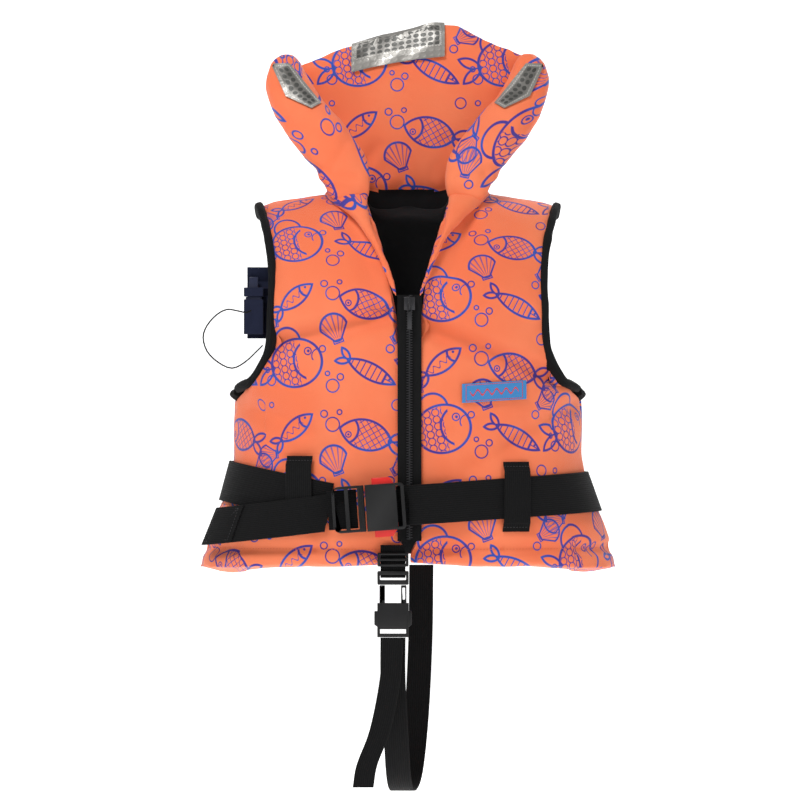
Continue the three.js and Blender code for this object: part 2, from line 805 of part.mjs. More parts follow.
const frameEndX = -(BELT_BUCKLE_AT.x - BELT_BUCKLE.frame) + 2;
put('belt_left_run', bodyBand(
  -1,
  -FRONT_DEPTH,
  0,
  beltEnd(frameEndX),
  12,
  BELT_WIDTH,
  BELT_THICKNESS,
  (angle) => beltZ(-1, bandX(angle)),
  () => BELT_STANDOFF,
  keepFront,
), webbing);

const TAIL_STANDOFF = BELT_STANDOFF + BELT_THICKNESS + KEEPER_THICKNESS + 2.8;
const TAIL_END_X = 184;
put('belt_tail', bodyBand(
  -1,
  -FRONT_DEPTH,
  beltEnd(TAIL_END_X),
  beltEnd(frameEndX),
  10,
  BELT_WIDTH - 2,
  BELT_THICKNESS,
  (angle) => BELT_BUCKLE_AT.z - 4.5 - 0.14 * (bandX(angle) - 75),
  () => TAIL_STANDOFF,
  keepFront,
), webbing);

const leftSideZ = beltZ(-1, bandX(0));
const rightSideZ = beltZ(1, bandX(0));
put('belt_back', bodyBand(
  1,
  BACK_DEPTH,
  0,
  Math.PI,
  24,
  BELT_WIDTH,
  BELT_THICKNESS,
  (angle) => mix(rightSideZ, leftSideZ, angle / Math.PI),
  () => BELT_STANDOFF,
  keepBack,
), webbing);

const KEEPER_X = 108;
const KEEPER_TURN = 6;

// A keeper is a short upright loop of webbing sewn to the panel above and below the belt.
function keeper(side, above, below) {
  const rise = BELT_STANDOFF + BELT_THICKNESS + 1;
  const middle = beltZ(side, KEEPER_X);
  const angles = [-1, 0, 1].map((n) => planAngle(KEEPER_X + n * KEEPER_WIDTH / 2, halfWidthAt(middle)));
  const top = middle + BELT_WIDTH / 2 + above;
  const bottom = middle - BELT_WIDTH / 2 - below;
  const stations = [
    [top, BELT_STANDOFF],
    [top - KEEPER_TURN, rise],
    [middle + BELT_WIDTH / 2, rise],
    [middle - BELT_WIDTH / 2, rise],
    [bottom + KEEPER_TURN, rise],
    [bottom, BELT_STANDOFF],
  ];
  return loft(stations.map(([z, off]) => {
    const place = (angle, more) => offBody(side, -FRONT_DEPTH, angle, z, off + more);
    return [
      ...angles.map((angle) => place(angle, 0)),
      ...[...angles].reverse().map((angle) => place(angle, KEEPER_THICKNESS)),
    ];
  }));
}

put('belt_keeper_right', keeper(1, 16, 14), webbing);
put('belt_keeper_left', keeper(-1, 22, 15), webbing);

// ---- Buckles ----

// A side release buckle along X: the frame is at x < 0 and the housing at x > 0.
function buckleHousing(b) {
  const half = b.web / 2 + b.side;
  const start = b.arm;
  const end = start + b.housing;
  const thick = b.thickness / 2;
  const shell = box([start, end], [-thick, thick], [-half, half]);
  return cutAway(shell, [
    box([start - 1, end - 11], [BUCKLE_WALL - thick, thick - BUCKLE_WALL], [1.6 - half, half - 1.6]),
    box([b.button[0] - 2, b.button[1] + 1], [BUCKLE_WALL - thick, thick - BUCKLE_WALL], [-99, 99]),
    box([end - 8, end - 3.4], [-99, 99], [-b.web / 2 - 0.5, b.web / 2 + 0.5]),
  ]);
}

function buckleFrame(b) {
  const half = b.web / 2 + b.side;
  const thick = b.frameThickness / 2;
  const slots = b.frameSlots.map((span) => box(span, [-99, 99], [-b.web / 2 - 0.5, b.web / 2 + 0.5]));
  return cutAway(box([-b.frame, -0.3], [-thick, thick], [-half, half]), slots);
}

const PRONG_THICKNESS = 5;
const PRONG_WIDTH = 5.5;

function buckleProng(b, sign) {
  const outer = b.web / 2 + b.side - 2.2;
  const inner = outer - PRONG_WIDTH;
  const press = b.web / 2 + b.side + b.buttonRise;
  const [button, tip] = b.button;
  const shape = new THREE.Shape();
  shape.moveTo(0.2, sign * inner);
  shape.lineTo(tip, sign * inner);
  shape.lineTo(tip, sign * (outer - 1));
  shape.lineTo(mix(button, tip, 0.75), sign * press);
  shape.lineTo(button, sign * press);
  shape.lineTo(button, sign * outer);
  shape.lineTo(0.2, sign * outer);
  shape.closePath();
  const prong = plate(shape, PRONG_THICKNESS);
  if (!b.armHole) return prong;
  const wall = 1.4;
  const span = [sign * (inner + wall), sign * (outer - wall)].sort((m, n) => m - n);
  return cutAway(prong, [box([2.5, 2.5 + b.armHole], [-99, 99], span)]);
}

const beltBuckle = new THREE.Group();
beltBuckle.position.copy(BELT_BUCKLE_AT);
beltBuckle.rotation.y = -BELT_SLOPE;
jacket.add(beltBuckle);
put('belt_buckle_housing', buckleHousing(BELT_BUCKLE), plastic, beltBuckle);
put('belt_buckle_frame', buckleFrame(BELT_BUCKLE), plastic, beltBuckle);
put('belt_prong_upper', buckleProng(BELT_BUCKLE, 1), redPlastic, beltBuckle);
put('belt_prong_lower', buckleProng(BELT_BUCKLE, -1), redPlastic, beltBuckle);

const crotchBuckle = new THREE.Group();
crotchBuckle.position.copy(CROTCH_BUCKLE_AT);
crotchBuckle.rotation.y = Math.PI / 2;
jacket.add(crotchBuckle);
put('crotch_buckle_housing', buckleHousing(CROTCH_BUCKLE), plastic, crotchBuckle);
put('crotch_buckle_frame', buckleFrame(CROTCH_BUCKLE), plastic, crotchBuckle);
put('crotch_prong_right', buckleProng(CROTCH_BUCKLE, 1), plastic, crotchBuckle);
put('crotch_prong_left', buckleProng(CROTCH_BUCKLE, -1), plastic, crotchBuckle);

// ---- Crotch webbing ----

// A band of webbing through places, its width along X.
function ribbon(places, width, thickness, steps) {
  const curve = new THREE.CatmullRomCurve3(places, false, 'centripetal');
  const across = vec(1, 0, 0);
  const rings = [];
  for (let k = 0; k <= steps; k += 1) {
    const p = curve.getPointAt(k / steps);
    const out = curve.getTangentAt(k / steps).cross(across).normalize();
    const place = (w, t) => p.clone().addScaledVector(across, w * width / 2).addScaledVector(out, t * thickness / 2);
    rings.push([place(-1, -1), place(1, -1), place(1, 1), place(-1, 1)]);
  }
  return loft(rings);
}

const crotchX = CROTCH_BUCKLE_AT.x;
const crotchTop = CROTCH_BUCKLE_AT.z + CROTCH_BUCKLE.frame;
const tabFace = -(FRONT_DEPTH + CLEARANCE);
put('crotch_tab', box(
  [crotchX - CROTCH_WIDTH / 2, crotchX + CROTCH_WIDTH / 2],
  [tabFace - CROTCH_THICKNESS, tabFace],
  [crotchTop + 0.6, HEM_Z + 21],
), webbing);

const GLIDE = { height: 14, thickness: 2.8, slot: 3.2, bar: 2.4 };
const GLIDE_SIDE = 3;
const glideSlot = (z0) => box(
  [-CROTCH_WIDTH / 2 - 0.3, CROTCH_WIDTH / 2 + 0.3],
  [-99, 99],
  [z0, z0 + GLIDE.slot],
);
const glidePlate = box(
  [-CROTCH_WIDTH / 2 - GLIDE_SIDE, CROTCH_WIDTH / 2 + GLIDE_SIDE],
  [-GLIDE.thickness / 2, GLIDE.thickness / 2],
  [-GLIDE.height / 2, GLIDE.height / 2],
);
const glideShape = cutAway(glidePlate, [glideSlot(GLIDE.bar / 2), glideSlot(-GLIDE.bar / 2 - GLIDE.slot)]);
const glide = put('crotch_tri_glide', glideShape, plastic);
const glideY = tabFace - CROTCH_THICKNESS - CLEARANCE - GLIDE.thickness / 2;
glide.position.set(crotchX, glideY, HEM_Z + 6.5);

const strapTop = CROTCH_BUCKLE_AT.z - CROTCH_BUCKLE.arm - CROTCH_BUCKLE.housing - 0.6;
const strapFrontY = CROTCH_BUCKLE_AT.y;
put('crotch_strap', ribbon([
  vec(crotchX, strapFrontY, strapTop),
  vec(crotchX, strapFrontY + 6, LOOP_BOTTOM_Z + 117),
  vec(-12, strapFrontY + 30, LOOP_BOTTOM_Z + 60),
  vec(-9, strapFrontY + 66, LOOP_BOTTOM_Z + 13),
  vec(-4, -8, LOOP_BOTTOM_Z),
  vec(3, 28, LOOP_BOTTOM_Z + 16),
  vec(9, 50, LOOP_BOTTOM_Z + 70),
  vec(13, 62, LOOP_BOTTOM_Z + 150),
  vec(14, BACK_DEPTH - 16, HEM_Z - 12),
], CROTCH_WIDTH, CROTCH_THICKNESS, 22), webbing);

const tailShift = -(CROTCH_THICKNESS + 1.6);
put('crotch_tail', ribbon([
  vec(crotchX, strapFrontY + tailShift, strapTop),
  vec(crotchX - 3, strapFrontY + tailShift, LOOP_BOTTOM_Z + 117),
  vec(-28, strapFrontY + tailShift + 5, LOOP_BOTTOM_Z + 67),
  vec(-41, strapFrontY + tailShift + 10, LOOP_BOTTOM_Z + 32),
  vec(-45, strapFrontY + tailShift + 14, LOOP_BOTTOM_Z + 9),
], CROTCH_WIDTH - 4, CROTCH_THICKNESS, 10), webbing);

// ---- Patch ----

const PATCH_X = [54, 119];
const PATCH_Z = [-201, -180];
const patchPoint = (off) => (s, t) => {
  const z = mix(...PATCH_Z, t);
  return offBody(1, -FRONT_DEPTH, planAngle(mix(...PATCH_X, s), halfWidthAt(z)), z, off);
};
put('label_patch', slab(5, 1, patchPoint(1.8), patchPoint(BELT_STANDOFF)), blueFabric);

// ---- Whistle ----

function boxRing(half, deep, z) {
  return [[-1, -1], [1, -1], [1, 1], [-1, 1]].map(([a, b]) => vec(a * half, b * deep, z));
}

const whistleTop = WHISTLE.height / 2;
const mouthWidth = WHISTLE.width * 0.55;
const whistleBody = joined([
  box([-WHISTLE.width / 2, WHISTLE.width / 2], [-WHISTLE.thickness / 2, WHISTLE.thickness / 2], [-whistleTop, 8]),
  box([-mouthWidth / 2, mouthWidth / 2], [-WHISTLE.thickness / 2 + 1.5, WHISTLE.thickness / 2 - 1.5], [7, whistleTop]),
]);
const whistle = put('whistle', whistleBody, whistlePlastic);
whistle.position.copy(WHISTLE_AT);

const pouchHalf = WHISTLE.width / 2 + POUCH_GAP;
const pouchDeep = WHISTLE.thickness / 2 + POUCH_GAP;
const pouchFloor = -whistleTop - POUCH_GAP;
const pouchTop = pouchFloor + POUCH_HEIGHT;
const pouchShape = loft([
  boxRing(pouchHalf + POUCH_WALL, pouchDeep + POUCH_WALL, pouchFloor - POUCH_WALL),
  boxRing(pouchHalf + POUCH_WALL, pouchDeep + POUCH_WALL, pouchTop),
  boxRing(pouchHalf, pouchDeep, pouchTop),
  boxRing(pouchHalf, pouchDeep, pouchFloor),
]);
const pouch = put('whistle_pouch', pouchShape, webbing);
pouch.position.copy(WHISTLE_AT);

const BAND_HEIGHT = 9;
const bandZ = [pouchTop + 3, pouchTop + 3 + BAND_HEIGHT];
const bandShape = cutAway(
  box([-pouchHalf - POUCH_WALL, pouchHalf + POUCH_WALL], [-pouchDeep - POUCH_WALL, pouchDeep + POUCH_WALL], bandZ),
  [box([-pouchHalf, pouchHalf], [-pouchDeep, pouchDeep], [bandZ[0] - 1, bandZ[1] + 1])],
);
const band = put('whistle_band', bandShape, webbing);
band.position.copy(WHISTLE_AT);

// The cord leaves the pouch's face, hangs in a loop past the armhole and returns to the binding.
const CORD_ROUTE = [
  [-158, -77.6, -110],
  [-163, -82, -112],
  [-173, -84, -110],
  [-182, -83, -109],
  [-192, -82, -114],
  [-202, -81, -125],
  [-206, -80, -137],
  [-202, -80, -151],
  [-191, -81, -162],
  [-177, -82, -168],
  [-164, -83, -162],
  [-152, -84, -151],
  [-146, -84, -145],
];
const cordCurve = new THREE.CatmullRomCurve3(CORD_ROUTE.map((p) => vec(...p)), false, 'centripetal');
const cordSection = new THREE.Shape();
cordSection.absarc(0, 0, CORD_RADIUS, 0, 2 * Math.PI, false);
put('whistle_cord', new THREE.ExtrudeGeometry(cordSection, {
  steps: 36,
  curveSegments: 4,
  extrudePath: cordCurve,
  bevelEnabled: false,
}), webbing);

export default jacket;
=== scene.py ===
import math

import bpy
import numpy as np
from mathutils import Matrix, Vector, noise
from mathutils.bvhtree import BVHTree


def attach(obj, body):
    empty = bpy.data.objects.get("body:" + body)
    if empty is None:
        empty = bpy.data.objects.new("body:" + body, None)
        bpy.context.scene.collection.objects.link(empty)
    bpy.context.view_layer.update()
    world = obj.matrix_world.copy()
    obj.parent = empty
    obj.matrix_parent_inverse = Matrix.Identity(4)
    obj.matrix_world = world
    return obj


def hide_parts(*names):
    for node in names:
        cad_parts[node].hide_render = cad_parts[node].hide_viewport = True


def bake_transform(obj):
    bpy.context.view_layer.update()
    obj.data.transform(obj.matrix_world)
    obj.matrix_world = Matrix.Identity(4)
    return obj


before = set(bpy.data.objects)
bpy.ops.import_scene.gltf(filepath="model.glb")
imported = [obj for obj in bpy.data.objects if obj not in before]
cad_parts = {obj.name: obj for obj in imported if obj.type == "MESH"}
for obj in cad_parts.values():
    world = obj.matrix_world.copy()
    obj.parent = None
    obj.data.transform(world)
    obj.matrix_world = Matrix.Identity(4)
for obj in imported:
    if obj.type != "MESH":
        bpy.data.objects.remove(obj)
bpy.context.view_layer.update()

scene = bpy.context.scene
scene.view_settings.view_transform = "Standard"

# ---- Camera, floor and light ----
# A long lens level with the middle of the jacket, on a pale floor with soft light from the front.

CAMERA_AT = (-0.008, -5.668, -0.200)
bpy.ops.object.camera_add(location=CAMERA_AT, rotation=(math.pi / 2, 0, 0))
camera = bpy.context.active_object
camera.name = "camera"
camera.data.lens = 250
camera.data.clip_end = 30
scene.camera = camera

bpy.ops.object.select_all(action="DESELECT")
bpy.ops.mesh.primitive_plane_add(size=24, location=(0, -2, -0.66))
floor = bpy.context.active_object
floor.name = "floor"
bpy.ops.object.transform_apply()
bpy.ops.object.mode_set(mode="EDIT")
bpy.ops.mesh.select_mode(type="EDGE")
bpy.ops.mesh.select_all(action="DESELECT")
bpy.ops.object.mode_set(mode="OBJECT")
for edge in floor.data.edges:
    edge.select = all(floor.data.vertices[n].co.y > 2 for n in edge.vertices)
bpy.ops.object.mode_set(mode="EDIT")
bpy.ops.mesh.extrude_region_move(TRANSFORM_OT_translate={"value": (0, 0, 5)})
bpy.ops.mesh.select_all(action="DESELECT")
bpy.ops.object.mode_set(mode="OBJECT")
for edge in floor.data.edges:
    ends = [floor.data.vertices[n].co for n in edge.vertices]
    edge.select = all(end.y > 2 and end.z < -0.6 for end in ends)
bpy.ops.object.mode_set(mode="EDIT")
bpy.ops.mesh.bevel(offset=1.2, segments=16)
bpy.ops.object.mode_set(mode="OBJECT")
bpy.ops.object.shade_smooth()
floor_look = bpy.data.materials.new("pale_floor")
floor_look.use_nodes = True
floor_look.node_tree.nodes["Principled BSDF"].inputs["Base Color"].default_value = (0.93, 0.93, 0.93, 1)
floor_look.node_tree.nodes["Principled BSDF"].inputs["Roughness"].default_value = 0.7
floor_look.node_tree.nodes["Principled BSDF"].inputs["Emission Color"].default_value = (1, 1, 1, 1)
floor_look.node_tree.nodes["Principled BSDF"].inputs["Emission Strength"].default_value = 0.72
floor.data.materials.append(floor_look)

world = bpy.data.worlds.new("studio")
world.use_nodes = True
world.node_tree.nodes["Background"].inputs["Color"].default_value = (1, 1, 1, 1)
world.node_tree.nodes["Background"].inputs["Strength"].default_value = 0.30
scene.world = world


def area_light(name, location, size, power):
    bpy.ops.object.light_add(type="AREA", location=location)
    lamp = bpy.context.active_object
    lamp.name = name
    lamp.data.size = size
    lamp.data.energy = power
    aim = Vector((0, 0, -0.2)) - Vector(location)
    lamp.rotation_euler = aim.to_track_quat("-Z", "Y").to_euler()


area_light("key", (-0.9, -1.3, 2.1), 0.8, 50)
area_light("fill", (1.9, -1.8, 0.6), 1.2, 9)
area_light("rim", (0.5, 1.9, 1.4), 1.4, 22)

# ---- Whistle cord ----
# A thin braided cord, sewn to the pouch at one end and to the armhole binding at the other.

CORD_DIAMETER = 0.0015
CORD_ROUTE = [
    (-0.158, -0.0776, -0.110),
    (-0.163, -0.082, -0.112),
    (-0.173, -0.084, -0.110),
    (-0.182, -0.083, -0.109),
    (-0.192, -0.082, -0.114),
    (-0.202, -0.081, -0.125),
    (-0.206, -0.080, -0.137),
    (-0.202, -0.080, -0.151),
    (-0.191, -0.081, -0.162),
    (-0.177, -0.082, -0.168),
    (-0.164, -0.083, -0.162),
    (-0.152, -0.084, -0.151),
    (-0.146, -0.084, -0.145),
]


def smooth_path(points, steps):
    """Places along a smooth curve through the points, the same number on each stretch."""
    ends = [Vector(points[0]) * 2 - Vector(points[1]), *map(Vector, points)]
    ends.append(Vector(points[-1]) * 2 - Vector(points[-2]))
    path = []
    for a, b, c, d in zip(ends, ends[1:], ends[2:], ends[3:]):
        for k in range(steps):
            t = k / steps
            path.append(0.5 * (2 * b + (c - a) * t + (2 * a - 5 * b + 4 * c - d) * t ** 2
                               + (3 * b - a - 3 * c + d) * t ** 3))
    path.append(ends[-2])
    return path


def path_length(path):
    return sum((b - a).length for a, b in zip(path, path[1:]))


cord_path = smooth_path(CORD_ROUTE, 3)
cord_curve = bpy.data.curves.new("whistle_lanyard", "CURVE")
cord_curve.dimensions = "3D"
cord_curve.bevel_depth = 1.0
cord_curve.bevel_resolution = 3
cord_curve.use_fill_caps = True
spline = cord_curve.splines.new("POLY")
spline.points.add(len(cord_path) - 1)
for point, place in zip(spline.points, cord_path):
    point.co = (*place, 1)
    point.radius = CORD_DIAMETER / 2
lanyard = bpy.data.objects.new("whistle_lanyard", cord_curve)
scene.collection.objects.link(lanyard)
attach(lanyard, "front_left")
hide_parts("whistle_cord")
path_length(cord_path)

# ---- Black webbing ----
# Woven polyester webbing, ribbed along its length, used for the belt, keepers, bindings and crotch strap.


class Field:
    """A socket that adds Math nodes when it is used in an expression."""

    def __init__(self, look, socket):
        self.look = look
        self.socket = socket

    def math(self, operation, *values):
        node = self.look.tree.nodes.new("ShaderNodeMath")
        node.operation = operation
        for place, value in zip(node.inputs, (self, *values)):
            self.look.plug(place, value)
        return Field(self.look, node.outputs[0])

    def __add__(self, other):
        return self.math("ADD", other)

    def __sub__(self, other):
        return self.math("SUBTRACT", other)

    def __mul__(self, other):
        return self.math("MULTIPLY", other)

    def __truediv__(self, other):
        return self.math("DIVIDE", other)

    def __rsub__(self, other):
        return (self * -1).math("ADD", other)

    __radd__ = __add__
    __rmul__ = __mul__

    def __neg__(self):
        return self * -1

    def __abs__(self):
        return self.math("ABSOLUTE")

    def __mod__(self, period):
        return self.math("FLOORED_MODULO", period)

    def least(self, other):
        return self.math("MINIMUM", other)

    def most(self, other):
        return self.math("MAXIMUM", other)

    def root(self):
        return self.math("SQRT")

    def sine(self):
        return self.math("SINE")

    def below(self, other):
        return self.math("LESS_THAN", other)

    def step(self, low, high):
        """0 below low and 1 above high, with a smooth ramp between them."""
        return self.look.node("ShaderNodeMapRange", {"interpolation_type": "SMOOTHSTEP"},
                              {"Value": self, "From Min": low, "From Max": high})


class Look:
    """A material built from expressions. Its Principled shader is bsdf."""

    def __init__(self, name, color, roughness, **fixed):
        self.material = bpy.data.materials.new(name)
        self.material.use_nodes = True
        self.tree = self.material.node_tree
        self.bsdf = self.tree.nodes["Principled BSDF"]
        self.bsdf.inputs["Base Color"].default_value = (*color, 1)
        self.bsdf.inputs["Roughness"].default_value = roughness
        for socket, value in fixed.items():
            self.bsdf.inputs[socket.replace("_", " ")].default_value = value

    def plug(self, place, value):
        if isinstance(value, Field):
            self.tree.links.new(value.socket, place)
        elif isinstance(value, tuple) and len(value) == 3 and len(place.default_value) == 4:
            place.default_value = (*value, 1)
        else:
            place.default_value = value

    def node(self, kind, settings=None, values=None, output=0):
        made = self.tree.nodes.new(kind)
        for name, value in (settings or {}).items():
            setattr(made, name, value)
        for name, value in (values or {}).items():
            self.plug(made.inputs[name], value)
        return Field(self, made.outputs[output])

    def axes(self, vector):
        made = self.tree.nodes.new("ShaderNodeSeparateXYZ")
        self.plug(made.inputs[0], vector)
        return [Field(self, made.outputs[k]) for k in range(3)]

    def place(self):
        return self.node("ShaderNodeTexCoord", output=3)

    def flat(self):
        """The piece's own flat pattern coordinates, in metres."""
        return self.node("ShaderNodeUVMap", {"uv_map": "pattern"})

    def noise(self, vector, scale, detail=2):
        return self.node("ShaderNodeTexNoise", values={"Vector": vector, "Scale": scale, "Detail": detail})

    def mix(self, factor, a, b):
        made = self.tree.nodes.new("ShaderNodeMix")
        made.data_type = "RGBA"
        self.plug(made.inputs["Factor"], factor)
        self.plug(made.inputs[6], a)
        self.plug(made.inputs[7], b)
        return Field(self, made.outputs[2])

    def set(self, socket, value):
        self.plug(self.bsdf.inputs[socket], value)

    def bump(self, height, distance, strength=1.0):
        normal = self.node("ShaderNodeBump", values={"Height": height, "Distance": distance, "Strength": strength})
        self.set("Normal", normal)


def woven(name, dark, light, rib, roughness=0.85):
    """Webbing with ribs across it and fine threads along it. rib is the pitch in metres."""
    look = Look(name, dark, roughness, Sheen_Weight=0.04, Specular_IOR_Level=0.12)
    along, across, _ = look.axes(look.flat())
    turn = 2 * math.pi / rib
    ribs = (across * turn).sine() * 0.5 + 0.5
    threads = (along * turn * 1.6 + (across * turn * 0.5).sine() * 1.2).sine() * 0.5 + 0.5
    height = ribs * 0.6 + threads * 0.4
    fluff = look.noise(look.place(), 900)
    look.set("Base Color", look.mix(height * 0.7 + fluff * 0.3, dark, light))
    look.set("Roughness", height * -0.12 + (roughness + 0.06))
    look.bump(height + fluff * 0.2, 0.0003)
    return look.material


webbing_look = woven("black_webbing", (0.0015, 0.0015, 0.0016), (0.008, 0.008, 0.0085), 0.0022)
binding_look = woven("black_binding", (0.002, 0.002, 0.0022), (0.009, 0.009, 0.0095), 0.0014)
cord_look = woven("black_cord", (0.002, 0.002, 0.0022), (0.012, 0.012, 0.013), 0.0012)
lanyard.data.materials.append(cord_look)

SQUARENESS = 2.3
FRONT_DEPTH = 0.112
BACK_DEPTH = 0.082
WAIST = 0.179
SIDE_ROWS = [(-0.366, 0.214), (-0.348, 0.210), (-0.318, 0.198), (-0.290, 0.184),
             (-0.255, 0.178), (-0.225, 0.180), (-0.197, 0.179)]
BELT_Z = -0.308
ARMPIT_Z = -0.197
SIDES = ((1, "right"), (-1, "left"))
FORWARD = Vector((0, -1, 0))


def half_width(z):
    return float(np.interp(z, [row[0] for row in SIDE_ROWS], [row[1] for row in SIDE_ROWS]))


def plan_angle(x, half):
    return math.acos(min(1, abs(x) / half) ** (SQUARENESS / 2))


def off_body(angle, z, off, depth):
    """A place off the jacket's outside. angle is 0 at the right side seam and a quarter turn at the middle."""
    half = half_width(z)
    cosine, sine = math.cos(angle), math.sin(angle)
    x = half * math.copysign(abs(cosine) ** (2 / SQUARENESS), cosine)
    y = depth * abs(sine) ** (2 / SQUARENESS)
    out = Vector((math.copysign((abs(x) / half) ** (SQUARENESS - 1) / half, x),
                  (y / depth) ** (SQUARENESS - 1) / depth, 0)).normalized()
    return Vector((x, y, z)) + out * off, out


def on_front(side, x, z, off, half):
    """A place off a front half and its direction out. half is the half width its plan angle is read at."""
    place, out = off_body(plan_angle(x, half), z, off, -FRONT_DEPTH)
    place.x *= side
    out.x *= side
    return place, out


def heading(path, k):
    """The direction of the path at its place k."""
    return (path[min(k + 1, len(path) - 1)] - path[max(k - 1, 0)]).normalized()


def only(*pieces):
    bpy.ops.object.select_all(action="DESELECT")
    for piece in pieces:
        piece.hide_set(False)
        piece.select_set(True)
    bpy.context.view_layer.objects.active = pieces[-1]


def finish_with(piece, kind, **settings):
    """Adds a modifier with these settings and applies it."""
    made = piece.modifiers.new(kind, kind)
    for name, value in settings.items():
        setattr(made, name, value)
    only(piece)
    bpy.ops.object.modifier_apply(modifier=made.name)


def new_piece(name, vertices, faces):
    mesh = bpy.data.meshes.new(name)
    mesh.from_pydata([tuple(v) for v in vertices], [], faces)
    piece = bpy.data.objects.new(name, mesh)
    scene.collection.objects.link(piece)
    only(piece)
    bpy.ops.object.mode_set(mode="EDIT")
    bpy.ops.mesh.select_all(action="SELECT")
    bpy.ops.mesh.normals_make_consistent(inside=False)
    bpy.ops.object.mode_set(mode="OBJECT")
    bpy.ops.object.shade_smooth_by_angle(angle=math.radians(35))
    return piece


def lay_flats(piece, flats):
    """Gives the piece its flat pattern coordinates, one pair for each place."""
    layer = piece.data.uv_layers.new(name="pattern")
    index = np.empty(len(piece.data.loops), dtype=np.int32)
    piece.data.loops.foreach_get("vertex_index", index)
    layer.data.foreach_set("uv", np.array(flats)[index].astype(np.float32).reshape(-1))


def band(name, sections, thickness, look):
    """A strip of webbing. Each section is (middle, across, out): across is half its width as a vector."""
    rim = 0.25
    vertices, flats, faces = [], [], []
    run = 0.0
    for k, (middle, across, out) in enumerate(sections):
        if k:
            run += (middle - sections[k - 1][0]).length
        wide = across.length
        edge = across.normalized() * thickness * rim
        lift = out * thickness / 2
        for side, inset, level in ((-1, 0, -rim), (-1, 0, rim), (-1, 1, 1), (1, 1, 1),
                                   (1, 0, rim), (1, 0, -rim), (1, 1, -1), (-1, 1, -1)):
            vertices.append(middle + across * side - edge * (side * inset) + lift * level)
            flats.append((run, wide * side))
    count = len(sections)
    for k in range(count - 1):
        for n in range(8):
            m = (n + 1) % 8
            faces.append((8 * k + n, 8 * k + m, 8 * k + 8 + m, 8 * k + 8 + n))
    faces.append(tuple(range(8)))
    faces.append(tuple(range(8 * count - 8, 8 * count)))
    piece = new_piece(name, vertices, faces)
    lay_flats(piece, flats)
    piece.data.materials.append(look)
    return piece


def stitches(name, path, outs, look, pitch=0.0032, size=(0.0021, 0.0007, 0.0005)):
    """A row of thread stitches along a path, each a small flattened eight-sided bead."""
    vertices, faces = [], []
    places = []
    gone = 0.0
    for a, b, out in zip(path, path[1:], outs):
        step = (b - a).length
        while gone < step:
            places.append((a.lerp(b, gone / step), (b - a).normalized(), out))
            gone += pitch
        gone -= step
    for middle, along, out in places:
        side = along.cross(out).normalized()
        base = len(vertices)
        for f, w in ((-0.5, 0.5), (0, 1), (0.5, 0.5)):
            for s, h in ((-1, 0), (-0.5, 0.8), (0.5, 0.8), (1, 0)):
                vertices.append(middle + along * f * size[0] + side * s * w * size[1] / 2 + out * h * w * size[2])
        for k in (0, 4):
            for n in range(3):
                faces.append((base + k + n, base + k + n + 1, base + k + n + 5, base + k + n + 4))
        faces.append((base, base + 4, base + 8, base + 11, base + 7, base + 3))
        faces.append((base, base + 1, base + 2, base + 3))
        faces.append((base + 8, base + 9, base + 10, base + 11))
    piece = new_piece(name, vertices, faces)
    piece.data.materials.append(look)
    return piece


dark_thread = Look("black_thread", (0.02, 0.02, 0.022), 0.6).material
orange_thread = Look("orange_thread", (0.75, 0.13, 0.05), 0.6).material

# ---- Belt ----
# One 40 mm belt round the jacket. On the right it ends in the buckle's housing, and on the left it is
# threaded through the buckle's frame and doubled back over itself to a stitched end.

BELT_HALF = 0.020
BELT_THICKNESS = 0.0021
BELT_OFF = 0.0019


def body_band(name, side, depth, start, end, steps, middle_z, off_at, half):
    """A band round the body from one plan angle to another. middle_z and off_at place its middle."""
    sections = []
    for k in range(steps + 1):
        angle = start + (end - start) * k / steps
        probe, _ = off_body(angle, BELT_Z, 0, depth)
        z = middle_z(probe.x)
        low, out = off_body(angle, z - half, off_at(angle), depth)
        high, _ = off_body(angle, z + half, off_at(angle), depth)
        for p in (low, high, out):
            p.x *= side
        sections.append(((low + high) / 2, (high - low) / 2, out))
    return band(name, sections, BELT_THICKNESS, webbing_look)


def smoothstep(value, low, high):
    t = np.clip((value - low) / (high - low), 0, 1)
    return t * t * (3 - 2 * t)


def belt_z(side, x):
    return BELT_Z + 0.003 + (0.064 * x if side > 0 else 0.19 * (x - 0.070))


BELT_HALF_WIDTH = half_width(BELT_Z)
ZIP_RISE = 0.0104
right_run = body_band(
    "belt_right_webbing", 1, -FRONT_DEPTH, 0.0, plan_angle(0.0012, BELT_HALF_WIDTH), 44,
    lambda x: belt_z(1, x), lambda a: BELT_OFF + ZIP_RISE * smoothstep(a, 1.25, 1.45), BELT_HALF)
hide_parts("belt_right_run")
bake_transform(right_run)
left_run = body_band(
    "belt_left_webbing", -1, -FRONT_DEPTH, 0.0, plan_angle(0.078, BELT_HALF_WIDTH), 36,
    lambda x: belt_z(-1, x), lambda a: BELT_OFF, BELT_HALF)
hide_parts("belt_left_run")
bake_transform(left_run)


def tail_z(x):
    return BELT_Z - 0.0045 - 0.14 * (x - 0.075)


